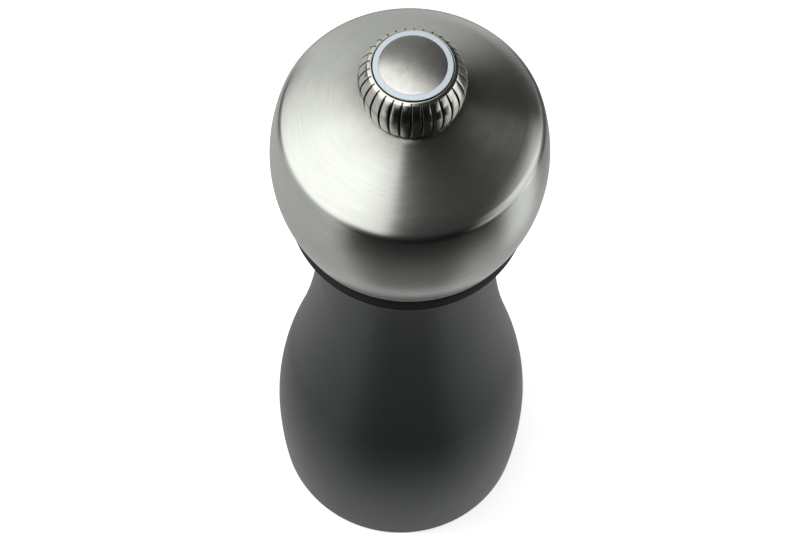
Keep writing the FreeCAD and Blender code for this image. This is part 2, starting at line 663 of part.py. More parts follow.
# Washers and clips on the square rod
def make_square_washer(label, height, radius, thickness):
    body = new_body(label, height)
    primitive(body, "AdditiveCylinder", label + "_disc", {"Radius": radius, "Height": thickness})
    square_hole(body, label + "_square", "square_fit", thickness)


# Square rod with its turned upper end
def make_shaft():
    body = new_body("shaft", "shaft_end")
    length = "seat_place - thread_start - shaft_end"
    half = "-shaft_side / 2"
    rod = {"Length": "shaft_side", "Width": "shaft_side", "Height": length}
    primitive(body, "AdditiveBox", "shaft_rod", rod, half, "0", half)
    thread = {"Radius": "thread_radius", "Height": "thread_start + thread_reach"}
    primitive(body, "AdditiveCylinder", "shaft_thread", thread, "0", length)
    doc.recompute()
    rod_end = body.Tip
    point = ring_edge(body, "thread_radius", length + " + thread_start + thread_reach")
    chamfer = body.newObject("PartDesign::Chamfer", "shaft_point")
    chamfer.Base = (rod_end, [point])
    chamfer.setExpression("Size", bound("shaft_chamfer"))


# A toothed outline as a closed wire at one height
def toothed_wire(teeth, tip, root, height, turn):
    """Saw teeth: a short steep flank and a long one from each tip."""
    steep = 0.25
    step = 360.0 / teeth
    corners = []
    for tooth in range(teeth):
        for radius, share in ((tip, 0.0), (root, steep)):
            angle = math.radians(step * (tooth + share) + turn)
            corners.append(Vector(radius * math.cos(angle), radius * math.sin(angle), height))
    return Part.makePolygon(corners + corners[:1])


def toothed_solid(teeth, sections):
    """A twisted solid through sections given as (tip, root, height, turn)."""
    wires = [toothed_wire(teeth, *section) for section in sections]
    return Part.makeLoft(wires, True, True)


def shaped(label, shape, height):
    """A node whose form is worked out here from the sheets."""
    node = doc.addObject("Part::Feature", label)
    node.Label = label
    node.Shape = shape
    node.Placement = Placement(Vector(0, 0, value(height)), Rotation())
    node.setExpression(".Placement.Base.z", bound(height))
    nodes[label] = node
    return node


def square_prism(clearance, height):
    side = value("shaft_side") + 2 * value(clearance)
    return Part.makeBox(side, side, height, Vector(-side / 2, -side / 2, 0))


# Rotor: fine helical teeth below, lobes above that draw the grains in
def make_rotor():
    fine_height = value("rotor_fine_height")
    height = value("rotor_height")
    depth = value("fine_tooth_depth")
    twist = value("fine_twist")
    low = value("rotor_radius")
    neck = value("rotor_neck_radius")
    crown = toothed_solid(count("fine_tooth_count"), [
        (low, low - depth, 0.0, 0.0),
        (neck, neck - depth, fine_height, twist),
    ])
    lobe_turn = value("lobe_twist")
    lobe_depth = value("rotor_lobe_depth")
    top = value("rotor_top_radius")
    top_depth = value("rotor_lobe_top_depth")
    inset = neck - depth
    middle = (fine_height + height) / 2
    lobes = toothed_solid(count("rotor_lobe_count"), [
        (inset, inset - lobe_depth, fine_height, 0.0),
        ((inset + top) / 2, (inset + top - lobe_depth - top_depth) / 2, middle, lobe_turn / 2),
        (top, top - top_depth, height, lobe_turn),
    ])
    solid = crown.fuse(lobes).cut(square_prism("square_fit", height))
    shaped("rotor", solid, "rotor_place")


# Stator: fine teeth that face the rotor's, and coarse ones at its mouth
def make_stator():
    height = value("stator_height")
    fine_top = value("rotor_place + rotor_fine_height - plate_recess - stator_step")
    slope = (value("rotor_radius") - value("rotor_neck_radius")) / value("rotor_fine_height")
    neck = value("rotor_neck_radius") + value("grinding_gap")
    low = neck + slope * fine_top
    depth = value("fine_tooth_depth")
    twist = value("fine_twist")
    mouth = value("stator_mouth_radius")
    coarse_depth = value("stator_tooth_depth")
    fine = toothed_solid(count("fine_tooth_count"), [
        (low + depth, low, 0.0, twist),
        (neck + depth, neck, fine_top, 0.0),
    ])
    coarse = toothed_solid(count("stator_tooth_count"), [
        (neck + depth, neck, fine_top, 0.0),
        (mouth + coarse_depth, mouth, height, -twist),
    ])
    ring = Part.makeCylinder(value("stator_radius"), height)
    shaped("stator", ring.cut(fine).cut(coarse), "plate_recess + stator_step")


# Ring and plug close the head from below
def make_head_ring():
    body = new_body("head_ring", "ring_place")
    web = "ring_height - ring_web"
    turned(body, [
        ("ring_radius - ring_wall", "0"),
        ("ring_radius - ring_round", "0", "round", "ring_round"),
        ("ring_radius", "ring_round"),
        ("ring_radius", "ring_height"),
        ("spigot_radius", "ring_height"),
        ("spigot_radius", "ring_height + spigot_height"),
        ("spigot_radius - spigot_wall", "ring_height + spigot_height"),
        ("spigot_radius - spigot_wall", "ring_height"),
        ("ring_bore_radius", "ring_height"),
        ("ring_bore_radius", web),
        ("ring_radius - ring_wall", web),
    ])


def make_head_plug():
    body = new_body("head_plug", "plug_place")
    top = "plug_length + plug_disc_thickness"
    inside = "plug_radius - plug_wall"
    turned(body, [
        ("shaft_way_radius", "0"),
        ("plug_radius - plug_round", "0", "round", "plug_round"),
        ("plug_radius", "plug_round"),
        ("plug_radius", "plug_length"),
        ("plug_disc_radius", "plug_length"),
        ("plug_disc_radius", top),
        (inside, top),
        (inside, "plug_floor"),
        ("shaft_way_radius", "plug_floor"),
    ])
    holes = screw_hole(body, "disc_hole", "plug_screw", "boss_circle",
                       "plug_disc_thickness", "plug_length")
    around(body, "disc_holes", holes, "screw_count")
    pilot = {"Radius": "drive_screw_radius + screw_fit", "Height": "plug_floor"}
    hole = primitive(body, "SubtractiveCylinder", "plate_pilot", pilot, "drive_screw_circle")
    around(body, "plate_pilots", [hole], "drive_screw_count")


# Pressed steel head: cone, rounded crease, bulged belt and a rolled lower edge
def make_head_dome():
    body = new_body("head_dome", "steel_place")
    under = "seat_rise - steel_thickness"
    turned(body, [
        ("lip_radius", "0"),
        ("edge_radius - edge_roll", "0", "round", "edge_roll"),
        ("edge_radius", "edge_roll", "round", "belt_lower_curve"),
        ("belt_radius", "belt_rise", "round", "belt_upper_curve"),
        ("crease_radius", "crease_rise"),
        ("seat_radius", "seat_rise"),
        ("shaft_way_radius", "seat_rise"),
        ("shaft_way_radius", under),
        ("seat_inside", under),
        ("crease_inside", "crease_inside_rise", "hollow", "belt_upper_curve - steel_thickness"),
        ("belt_radius - steel_thickness", "belt_rise", "hollow", "belt_lower_curve - steel_thickness"),
        ("edge_inside", "edge_roll"),
        ("edge_radius - edge_roll", "steel_thickness"),
        ("lip_radius", "steel_thickness"),
    ])
    for name, across, rise, radius in (
            ("crease_outside", "crease_radius", "crease_rise", "crease_round"),
            ("crease_within", "crease_inside", "crease_inside_rise", "crease_round - steel_thickness")):
        doc.recompute()
        whole = body.Tip
        rounding = body.newObject("PartDesign::Fillet", name)
        rounding.Base = (whole, [ring_edge(body, across, rise)])
        rounding.setExpression("Radius", bound(radius))
        body.Tip = rounding


# Moulded core that carries the steel: wall, hub, ribs and screw bosses
def make_head_core():
    body = new_body("head_core", "steel_place")
    turned(body, [
        ("shaft_way_radius", "core_foot_rise"),
        ("core_foot_radius", "core_foot_rise", "round", "belt_lower_curve - core_inset"),
        ("belt_radius - core_inset", "belt_rise", "round", "belt_upper_curve - core_inset"),
        ("core_crease_radius", "core_crease_rise"),
        ("seat_radius - core_inset", "core_top"),
        ("shaft_way_radius", "core_top"),
    ])
    inner_belt = "belt_radius - core_inset - core_wall"
    hollowed(body, "core_hollow", [
        ("hub_radius", "core_foot_rise"),
        ("core_foot_radius - core_wall", "core_foot_rise"),
        (inner_belt, "belt_rise"),
        ("core_crease_radius - core_wall", "core_crease_rise - core_wall / 2"),
        ("hub_radius", "core_top - core_wall"),
    ])
    foot = {"Radius": "hub_radius + core_wall", "Height": "hub_rise - core_foot_rise"}
    primitive(body, "SubtractiveCylinder", "hub_foot", foot, "0", "core_foot_rise")
    sketch = new_sketch(body, "rib_outline", "XZ_Plane")
    outline(sketch, [
        ("hub_radius - core_wall / 2", "rib_rise"),
        ("belt_radius - core_inset - core_wall / 2", "rib_rise"),
        ("core_crease_radius - core_wall / 2", "core_crease_rise - core_wall / 2"),
        ("hub_radius - core_wall / 2", "core_top - core_wall / 2"),
    ])
    rib = body.newObject("PartDesign::Pad", "rib")
    rib.Profile = sketch
    rib.SideType = "Symmetric"
    rib.setExpression("Length", bound("rib_thickness"))
    around(body, "ribs", [rib], "rib_count")
    post = {"Radius": "boss_radius", "Height": "belt_rise + ring_web"}
    boss = primitive(body, "AdditiveCylinder", "boss", post, "boss_circle", "-ring_web")
    around(body, "bosses", [boss], "screw_count")
    pilot = {"Radius": "plug_screw_radius + screw_fit", "Height": "plug_screw_length"}
    hole = primitive(body, "SubtractiveCylinder", "boss_pilot", pilot, "boss_circle", "-ring_web")
    around(body, "boss_pilots", [hole], "screw_count")


# Plate with the square hole that turns the shaft
def make_drive_plate():
    body = new_body("drive_plate", "drive_place")
    disc = {"Radius": "drive_plate_radius", "Height": "drive_plate_thickness"}
    primitive(body, "AdditiveCylinder", "plate_disc", disc)
    square_hole(body, "plate_square", "square_slide", "drive_plate_thickness")
    holes = screw_hole(body, "plate_hole", "drive_screw", "drive_screw_circle",
                       "drive_plate_thickness")
    around(body, "plate_holes", holes, "drive_screw_count")


# Knob: barrel with a bevelled rim, fluted round, recessed for its disc
def make_adjusting_knob():
    body = new_body("adjusting_knob", "knob_place")
    floor = "knob_height - recess_depth"
    turned(body, [
        ("0", "0"),
        ("knob_foot_radius", "0", "round", "knob_foot_round"),
        ("knob_foot_radius + knob_foot_round", "knob_foot_round", "round", "knob_lower_curve"),
        ("knob_radius", "knob_belt_rise", "round", "knob_upper_curve"),
        ("knob_shoulder_radius", "shoulder_rise"),
        ("recess_radius", "knob_height"),
        ("recess_radius", floor),
        ("0", floor),
    ])
    socket = {"Radius": "insert_radius", "Height": "insert_length"}
    primitive(body, "SubtractiveCylinder", "insert_socket", socket)
    doc.recompute()
    plain = body.Shape.Volume
    centre = "knob_radius + flute_radius - flute_depth"
    cuts = []
    for name, across, reach, upwards in (
            ("flute_upper", "knob_radius - flute_depth - flute_curve",
             "asin((shoulder_rise - knob_belt_rise) / flute_curve) + flute_runout * 1 deg", True),
            ("flute_lower", "knob_radius - flute_depth - flute_foot_curve",
             "asin((knob_belt_rise + flute_width) / flute_foot_curve)", False)):
        sketch = new_sketch(body, name + "_outline", "XY_Plane", "knob_belt_rise")
        circle(sketch, "flute_radius", centre)
        pivot = value(across)
        line = Part.LineSegment(Vector(pivot, 0, 0), Vector(pivot, value("flute_width"), 0))
        axis = sketch.addGeometry(line, True)
        pin(sketch, axis, 1, across, "0")
        pin(sketch, axis, 2, across, "flute_width")
        flute = body.newObject("PartDesign::Groove", name)
        flute.Profile = sketch
        flute.ReferenceAxis = (sketch, ["Axis0"])
        flute.Reversed = upwards
        flute.setExpression("Angle", bound(reach))
        doc.recompute()
        cuts.append(flute)
        print("%s: takes %.2f mm3" % (name, plain - body.Shape.Volume))
        plain = body.Shape.Volume
    around(body, "flutes", cuts, "flute_count")
    body.setExpression(".Placement.Rotation.Angle", bound("180 / flute_count"))


def make_knob_pieces():
    washer = new_body("knob_washer", "seat_place")
    turned(washer, [
        ("shaft_way_radius", "0"),
        ("washer_radius", "0"),
        ("washer_radius", "washer_thickness"),
        ("shaft_way_radius", "washer_thickness"),
    ])
    insert = new_body("knob_insert", "knob_place")
    turned(insert, [
        ("thread_radius + running_gap", "0"),
        ("insert_radius - insert_fit", "0"),
        ("insert_radius - insert_fit", "insert_length - insert_fit"),
        ("thread_radius + running_gap", "insert_length - insert_fit"),
    ])
    disc = new_body("knob_disc", "disc_place")
    shelf = "disc_thickness - enamel_depth"
    turned(disc, [
        ("0", "0"),
        ("disc_radius", "0"),
        ("disc_radius", shelf),
        ("inlay_radius", shelf),
        ("inlay_radius", "inlay_rise", "round", "disc_curve"),
        ("0", "disc_thickness + disc_crown"),
    ])
    enamel = new_body("disc_ring", "disc_place")
    turned(enamel, [
        ("enamel_radius", shelf),
        ("disc_radius", shelf),
        ("disc_radius", "disc_thickness", "round", "disc_curve"),
        ("enamel_radius", "enamel_rise"),
    ])


# Groups of countersunk screws, all driven upwards
def make_screws(label, screw, height, circle_radius, amount):
    members = []
    for number in range(count(amount)):
        name = "%s_%d" % (label, number + 1)
        head = doc.addObject("Part::Cone", name + "_head")
        head.setExpression("Radius1", bound(screw + "_head_radius"))
        head.setExpression("Radius2", bound(screw + "_radius"))
        head.setExpression("Height", bound(screw + "_head_depth"))
        shank = doc.addObject("Part::Cylinder", name + "_shank")
        shank.setExpression("Radius", bound(screw + "_radius"))
        shank.setExpression("Height", bound(screw + "_length"))
        blank = doc.addObject("Part::Fuse", name + "_blank")
        blank.Base = head
        blank.Tool = shank
        slots = []
        for turned_about in (False, True):
            slot = doc.addObject("Part::Box", name + "_slot_%d" % turned_about)
            long_side, short_side = ("Width", "Length") if turned_about else ("Length", "Width")
            slot.setExpression(long_side, bound("2 * " + screw + "_radius"))
            slot.setExpression(short_side, bound("screw_slot"))
            slot.setExpression("Height", bound(screw + "_head_depth"))
            far = {"Length": "x", "Width": "y"}
            slot.setExpression(".Placement.Base." + far[long_side], bound("-" + screw + "_radius"))
            slot.setExpression(".Placement.Base." + far[short_side], bound("-screw_slot / 2"))
            slots.append(slot)
        cross = doc.addObject("Part::Fuse", name + "_cross")
        cross.Base = slots[0]
        cross.Tool = slots[1]
        whole = doc.addObject("Part::Cut", name)
        whole.Base = blank
        whole.Tool = cross
        share = "360 * %d / " % number + amount
        whole.setExpression(".Placement.Base.x", bound(circle_radius + " * cos(" + share + ")"))
        whole.setExpression(".Placement.Base.y", bound(circle_radius + " * sin(" + share + ")"))
        whole.setExpression(".Placement.Base.z", bound(height))
        members.append(whole)
    group = doc.addObject("Part::Compound", label)
    group.Label = label
    group.Links = members
    nodes[label] = group


make_body_shell()
make_neck_bush()
make_mechanism_housing()
make_stator()
make_bridge()
make_screws("base_screws", "base_screw", "plate_recess", "base_screw_circle", "screw_count")
make_shaft_bush()
make_spring()
make_shaft()
make_rotor()
make_square_washer("rotor_clip", "rotor_place - clip_thickness", "clip_radius", "clip_thickness")
make_square_washer("spring_washer", "spring_washer_place", "spring_washer_radius",
                   "spring_washer_thickness")
make_head_ring()
make_head_plug()
make_head_dome()
make_head_core()
make_drive_plate()
make_screws("plug_screws", "plug_screw", "plug_place + plug_length", "boss_circle", "screw_count")
make_screws("drive_screws", "drive_screw", "drive_place", "drive_screw_circle",
            "drive_screw_count")
make_adjusting_knob()
make_knob_pieces()
doc.recompute()

# Every object has to be sound before anything is written
for item in doc.Objects:
    if "Invalid" in item.State or "Error" in item.State:
        raise RuntimeError("failed: " + item.Name)
for label, node in nodes.items():
    if node.Shape.isNull() or not node.Shape.isValid() or not node.Shape.Solids:
        raise RuntimeError("unsound: " + label)

os.makedirs("parts", exist_ok=True)
for label, node in nodes.items():
    node.Shape.exportStep("parts/" + label + ".step")
    box = node.Shape.optimalBoundingBox(False)
    print("%-18s %d solids %9.1f mm3  z %.2f to %.2f" % (
        label, len(node.Shape.Solids), node.Shape.Volume, box.ZMin, box.ZMax))
print("nodes:", len(nodes))
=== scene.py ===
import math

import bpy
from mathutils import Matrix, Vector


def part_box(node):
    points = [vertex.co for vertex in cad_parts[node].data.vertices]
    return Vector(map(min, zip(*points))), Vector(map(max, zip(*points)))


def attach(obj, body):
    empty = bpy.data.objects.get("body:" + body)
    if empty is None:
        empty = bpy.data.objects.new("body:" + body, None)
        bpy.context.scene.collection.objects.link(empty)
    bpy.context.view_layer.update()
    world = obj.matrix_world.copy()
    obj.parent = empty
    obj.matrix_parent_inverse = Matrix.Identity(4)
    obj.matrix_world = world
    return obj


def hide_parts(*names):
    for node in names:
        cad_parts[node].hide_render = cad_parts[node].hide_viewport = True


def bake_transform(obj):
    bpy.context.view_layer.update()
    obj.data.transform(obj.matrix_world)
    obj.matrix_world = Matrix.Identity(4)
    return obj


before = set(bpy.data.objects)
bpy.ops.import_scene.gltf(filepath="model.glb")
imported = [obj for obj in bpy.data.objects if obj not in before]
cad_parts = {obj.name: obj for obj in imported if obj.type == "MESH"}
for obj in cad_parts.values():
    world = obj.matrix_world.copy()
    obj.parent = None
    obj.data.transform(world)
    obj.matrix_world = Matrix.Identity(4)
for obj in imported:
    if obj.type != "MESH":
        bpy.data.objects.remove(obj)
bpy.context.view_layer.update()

# %% [markdown]
# # A salt mill, dressed for its picture
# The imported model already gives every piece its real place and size. What it lacks
# is the finish: a brushed steel head, a polished fluted knob, satin lacquer on the
# wood. This lesson adds them. Pieces that show are turned again with many more
# facets, because a reflection betrays every corner of a coarse mesh. Of those inside,
# only the spring is made again. The others keep their mesh and get a better material.

MM = 0.001
print("pieces:", len(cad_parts))

# %% New objects
def add_object(name, data):
    """Put a camera, a lamp or a mesh in the scene under its own name."""
    thing = bpy.data.objects.new(name, data)
    bpy.context.scene.collection.objects.link(thing)
    return thing


def add_mesh(name, verts, faces, material=None):
    """Put a mesh made of points and faces in the scene."""
    mesh = bpy.data.meshes.new(name)
    mesh.from_pydata(verts, [], faces)
    if material:
        mesh.materials.append(material)
    return add_object(name, mesh)


print("helpers: add_object, add_mesh")

# %% [markdown]
# ## The camera
# A camera belongs first, because everything after it is judged through it. The
# photograph looks steeply down at the front of the mill with a long lens, less than
# 60 cm from the knob, and it leans by two degrees. A place, three angles and a lens
# say that better than a matrix would, so the matrix is worked out from them.

# %% The camera
CAMERA_BACK = 295.3 * MM
CAMERA_HEIGHT = 686.0 * MM
CAMERA_DOWN = math.radians(63.185)
CAMERA_TURN = math.radians(-0.273)
CAMERA_ROLL = math.radians(1.884)
LENS = 117.0
camera = add_object("camera", bpy.data.cameras.new("camera"))
camera.data.lens = LENS
camera.data.clip_start = 0.01
camera.data.clip_end = 20.0
# An unturned camera looks down, so it is rolled, tilted up from there and turned.
camera.matrix_world = (Matrix.Rotation(-CAMERA_TURN, 4, "Z")
                       @ Matrix.Rotation(math.pi / 2 - CAMERA_DOWN, 4, "X")
                       @ Matrix.Rotation(CAMERA_ROLL, 4, "Z"))
camera.location = (0.0, -CAMERA_BACK, CAMERA_HEIGHT)
bpy.context.scene.camera = camera
bpy.context.scene.view_settings.view_transform = "Standard"

# %% [markdown]
# ## Outlines for turned pieces
# Nearly everything here was turned on a lathe or pressed round a form, so one half
# outline says it all. The points run anticlockwise, as radius and height, with the
# material on their left. Real edges are never knife sharp: a small rounding on
# each corner catches the light, and without it metal looks like paper.

# %% Outline helpers
ARC_STEPS = 28
CORNER_STEPS = 5
CORNER_ANGLE = math.radians(24)


def arc(start, finish, radius, bulge=1, steps=ARC_STEPS):
    """Points after start, up to finish, on an arc that bulges outwards (1) or inwards (-1)."""
    first, last = Vector(start), Vector(finish)
    chord = last - first
    outward = Vector((chord.y, -chord.x)).normalized() * bulge
    reach = math.sqrt(max(radius * radius - chord.length_squared / 4, 0.0))
    centre = (first + last) / 2 - outward * reach
    begin = math.atan2(first.y - centre.y, first.x - centre.x)
    sweep = 2 * math.asin(min(chord.length / 2 / radius, 1.0)) * bulge
    return [(centre.x + radius * math.cos(begin + sweep * step / steps),
             centre.y + radius * math.sin(begin + sweep * step / steps))
            for step in range(1, steps + 1)]


def arc_radius(step, rise):
    """Radius of an arc that starts along a line and is step away from it after rise."""
    return (step * step + rise * rise) / (2 * step)


def rounded(corner_before, corner, corner_after, radius, steps=CORNER_STEPS):
    """Points of a small arc that replaces a corner between two straight edges."""
    here = Vector(corner)
    back = Vector(corner_before) - here
    on = Vector(corner_after) - here
    half = back.angle(on) / 2
    room = min(radius / math.tan(half), 0.45 * back.length, 0.45 * on.length)
    start = here + back.normalized() * room
    finish = here + on.normalized() * room
    points = []
    for step in range(steps + 1):
        share = step / steps
        low = start.lerp(here, share)
        high = here.lerp(finish, share)
        points.append(tuple(low.lerp(high, share)))
    return points


def softened(points, radius):
    """The closed outline with each sharp corner rounded; shallow bends stay as they are."""
    soft = []
    for index, point in enumerate(points):
        before = Vector(points[index - 1])
        after = Vector(points[(index + 1) % len(points)])
        here = Vector(point)
        if (here - before).angle(after - here) < CORNER_ANGLE:
            soft.append(point)
        else:
            soft.extend(rounded(before, point, after, radius))
    return soft


print("an arc has %d steps, a corner %d" % (ARC_STEPS, CORNER_STEPS))

# %% [markdown]
# ## The lathe
# Blender has a Screw modifier that spins an outline, but it leaves no say in the
# texture coordinates. Brushed metal needs them: one that counts turns round the
# axis and one that measures metres along the outline. Building the mesh by hand
# takes a few more lines and gives both, and room for the knob's flutes too.

# %% The lathe
SEGMENTS = 256


def along_outline(points):
    """Metres from the first point to each point, and once round to the first again."""
    run = [0.0]
    ring = points + points[:1]
    for before, after in zip(ring, ring[1:]):
        run.append(run[-1] + (Vector(after) - Vector(before)).length)
    return run


def lathe(name, points, angles=None, carve=None):
    """A mesh object turned from a closed outline in metres; carve may move each point."""
    angles = angles or [2 * math.pi * step / SEGMENTS for step in range(SEGMENTS)]
    run = along_outline(points)
    verts = []
    for angle in angles:
        for radius, height in points:
            if carve:
                radius, height = carve(angle, radius, height)
            verts.append((radius * math.cos(angle), radius * math.sin(angle), height))
    count = len(points)
    faces = []
    turning = []
    for ring in range(len(angles)):
        after = (ring + 1) % len(angles)
        left = angles[ring] / (2 * math.pi)
        right = angles[after] / (2 * math.pi) if after else 1.0
        for span in range(count):
            onward = (span + 1) % count
            faces.append((ring * count + span, after * count + span,
                          after * count + onward, ring * count + onward))
            turning.extend((left, run[span], right, run[span],
                            right, run[span + 1], left, run[span + 1]))
    piece = add_mesh(name, verts, faces)
    layer = piece.data.uv_layers.new(name="turning")
    layer.data.foreach_set("uv", turning)
    piece.data.polygons.foreach_set("use_smooth", [True] * len(faces))
    piece.data.validate()
    piece.data.update()
    print("%s: %d faces" % (name, len(faces)))
    return piece


def mark(piece, attribute, measure):
    """Store a number at each vertex, worked out from its place."""
    layer = piece.data.attributes.new(attribute, "FLOAT", "POINT")
    layer.data.foreach_set("value", [measure(vertex.co) for vertex in piece.data.vertices])


print("the lathe turns an outline in %d steps" % SEGMENTS)

# %% [markdown]
# ## Effects shared by several materials
# Lines left by brushing or turning, handling marks, painted shade round a joint and the
# faint skin of a lacquer turn up on piece after piece. Each is a node group with named
# sockets, built once, so that a material only states how fine it wants it. The groups
# give out heights and masks only; the shader itself stays in the material.

# %% A helper for node trees
def place(tree, kind, links=None, **settings):
    """Add a shader node, set its values by name, and link inputs given as sockets."""
    node = tree.nodes.new("ShaderNode" + kind)
    for key, setting in settings.items():
        setattr(node, key, setting)
    for socket, source in (links or {}).items():
        if isinstance(source, bpy.types.NodeSocket):
            tree.links.new(source, node.inputs[socket])
        else:
            node.inputs[socket].default_value = source
    return node


def reckon(tree, operation, first, second):
    """The result of a math node on two sockets or numbers."""
    return place(tree, "Math", {0: first, 1: second}, operation=operation).outputs[0]


def wire(tree, node, **sources):
    """Link sources to a node's inputs, named with _ for each space."""
    for socket, source in sources.items():
        tree.links.new(source, node.inputs[socket.replace("_", " ")])


def noise(tree, spot, scale, detail, roughness=0.5, distortion=0.0):
    """A noise texture's value at a spot."""
    return place(tree, "TexNoise", {
        "Vector": spot, "Scale": scale, "Detail": detail, "Roughness": roughness,
        "Distortion": distortion}).outputs[0]


def new_group(name, inputs, outputs):
    """A shader group with float sockets given as (name, default), its entry and its way out."""
    group = bpy.data.node_groups.new(name, "ShaderNodeTree")
    for socket, default in inputs:
        made = group.interface.new_socket(name=socket, in_out="INPUT", socket_type="NodeSocketFloat")
        made.default_value = default
    for socket in outputs:
        group.interface.new_socket(name=socket, in_out="OUTPUT", socket_type="NodeSocketFloat")
    entry = group.nodes.new("NodeGroupInput").outputs
    way_out = group.nodes.new("NodeGroupOutput")
    return group, entry, way_out


print("helpers: place, reckon, wire, noise, new_group")

# %% [markdown]
# ### Lines round the axis
# A brushing belt or a lathe tool leaves fine lines that run round the piece. A noise
# that changes fast along the outline and slowly round the axis looks like them. The
# turn is fed in as a cosine and a sine, so that the lines close without a seam.

# %% Group: lines round the axis
LINES_PER_STREAK = 3.0


def make_turning_lines():
    group, entry, way_out = new_group(
        "turning_lines",
        [("Lines per metre", 9000.0), ("Breaks per turn", 3.0)],
        ["Height", "Streaks"])
    place_on = place(group, "TexCoord").outputs["UV"]
    parts = place(group, "SeparateXYZ", {0: place_on})
    angle = reckon(group, "MULTIPLY", parts.outputs["X"], 2 * math.pi)
    breaks = entry["Breaks per turn"]
    east = reckon(group, "MULTIPLY", reckon(group, "COSINE", angle, 0.0), breaks)
    north = reckon(group, "MULTIPLY", reckon(group, "SINE", angle, 0.0), breaks)
    fine = reckon(group, "MULTIPLY", parts.outputs["Y"], entry["Lines per metre"])
    broad = reckon(group, "DIVIDE", fine, LINES_PER_STREAK)
    lines = place(group, "CombineXYZ", {0: east, 1: north, 2: fine}).outputs[0]
    bands = place(group, "CombineXYZ", {0: east, 1: north, 2: broad}).outputs[0]
    wire(group, way_out,
         Height=noise(group, lines, scale=1.0, detail=3.0, roughness=0.65),
         Streaks=noise(group, bands, scale=1.0, detail=4.0, roughness=0.7))
    return group


turning_lines = make_turning_lines()
print("group:", turning_lines.name)

# %% [markdown]
# ### Handling marks
# Fingers and cloths leave soft patches that are a little duller, and dust leaves
# small specks, here a few of the cells of a cell pattern. Both are faint, but a
# surface without them looks computed.

# %% Group: handling marks
SPECK_RADIUS = 0.22


def make_handling_marks():
    group, entry, way_out = new_group(
        "handling_marks",
        [("Patches per metre", 60.0), ("Specks per metre", 900.0), ("Speck share", 0.06)],
        ["Patches", "Specks"])
    spot = place(group, "TexCoord").outputs["Object"]
    patches = noise(group, spot, entry["Patches per metre"], detail=4.0, roughness=0.6,
                    distortion=0.6)
    smooth = place(group, "MapRange", {"Value": patches, "From Min": 0.35, "From Max": 0.7})
    cells = place(group, "TexVoronoi", {
        "Vector": spot, "Scale": entry["Specks per metre"], "Randomness": 1.0})
    lottery = place(group, "SeparateColor", {0: cells.outputs["Color"]})
    chosen = reckon(group, "LESS_THAN", lottery.outputs[0], entry["Speck share"])
    near = reckon(group, "LESS_THAN", cells.outputs["Distance"], SPECK_RADIUS)
    specks = reckon(group, "MULTIPLY", chosen, near)
    wire(group, way_out, Patches=smooth.outputs[0], Specks=specks)
    return group


handling_marks = make_handling_marks()
print("group:", handling_marks.name)

# %% [markdown]
# ### Painted shade round a fitted piece
# Where one piece stands on another, the colour is painted darker: painted shade, dark
# beside the joint and gone a few millimetres out, with a ragged edge.

# %% Group: painted shade round a fitted piece
RAGGED_EDGE = 4.0 * MM
RAGS_PER_METRE = 160.0


# painted shade: a mask that darkens a colour beside a joint and fades a few millimetres out
def make_joint_shade():
    group, entry, way_out = new_group(
        "joint_shade", [("Joint radius", 0.011), ("Reach", 0.008)], ["Grime"])
    spot = place(group, "TexCoord").outputs["Object"]
    parts = place(group, "SeparateXYZ", {0: spot})
    flat = place(group, "CombineXYZ", {0: parts.outputs["X"], 1: parts.outputs["Y"]}).outputs[0]
    away = place(group, "VectorMath", {0: flat}, operation="LENGTH").outputs["Value"]
    ragged = noise(group, spot, RAGS_PER_METRE, detail=3.0)
    shift = reckon(group, "MULTIPLY", reckon(group, "SUBTRACT", ragged, 0.5), RAGGED_EDGE)
    past = reckon(group, "SUBTRACT", reckon(group, "ADD", away, shift), entry["Joint radius"])
    fade = reckon(group, "SUBTRACT", 1.0, reckon(group, "DIVIDE", past, entry["Reach"]))
    shade_ramp = place(group, "Clamp", {0: fade}).outputs[0]
    wire(group, way_out, Grime=reckon(group, "MULTIPLY", shade_ramp, shade_ramp))
    return group


joint_shade = make_joint_shade()
print("group:", joint_shade.name)

# %% [markdown]
# ### The skin of lacquer and moulded plastic
# Sprayed lacquer dries with a very shallow waviness, and a mould leaves a fine
# texture. Both are the same kind of unevenness at another size, so they share one
# group with a size of its own in each material.

# %% Group: surface skin
def make_surface_skin():
    group, entry, way_out = new_group("surface_skin", [("Bumps per metre", 1500.0)], ["Height"])
    spot = place(group, "TexCoord").outputs["Object"]
    wire(group, way_out, Height=noise(group, spot, entry["Bumps per metre"], detail=2.0))
    return group


surface_skin = make_surface_skin()
print("group:", surface_skin.name)

# %% [markdown]
# ## Materials
# Each material starts from the same few lines: a Principled shader with its uniform
# values set on its own sockets. What changes over the surface is wired in after
# that, from the groups above.

# %% Material helpers
def new_material(name, metallic=0.0, roughness=0.5, **uniform):
    """A material, its tree and its Principled shader, with values that hold all over it."""
    material = bpy.data.materials.new(name)
    material.use_nodes = True
    tree = material.node_tree
    shader = tree.nodes["Principled BSDF"]
    shader.inputs["Metallic"].default_value = metallic
    shader.inputs["Roughness"].default_value = roughness
    for socket, setting in uniform.items():
        shader.inputs[socket.replace("_", " ")].default_value = setting
    return material, tree, shader


def use_group(tree, group, **inputs):
    """Place a shared effect with a material's own values, and give its outputs."""
    values = {socket.replace("_", " "): setting for socket, setting in inputs.items()}
    return place(tree, "Group", values, node_tree=group).outputs


def between(tree, share, low, high):
    """A value that goes from low to high as share goes from 0 to 1."""
    return place(tree, "MapRange", {"Value": share, "To Min": low, "To Max": high}).outputs[0]


def blend_colours(tree, share, first, second):
    """A colour that goes from the first to the second as share goes from 0 to 1."""
    return place(tree, "Mix", {0: share, 6: first, 7: second}, data_type="RGBA").outputs[2]


def bump(tree, shader, height, distance):
    """Send a height to the shader's normal, with its depth in metres."""
    node = place(tree, "Bump", {"Height": height, "Distance": distance, "Strength": 1.0})
    wire(tree, shader, Normal=node.outputs[0])


def colour(red, green, blue):
    return (red, green, blue, 1.0)


print("helpers: new_material, use_group, between, blend_colours, bump, colour")
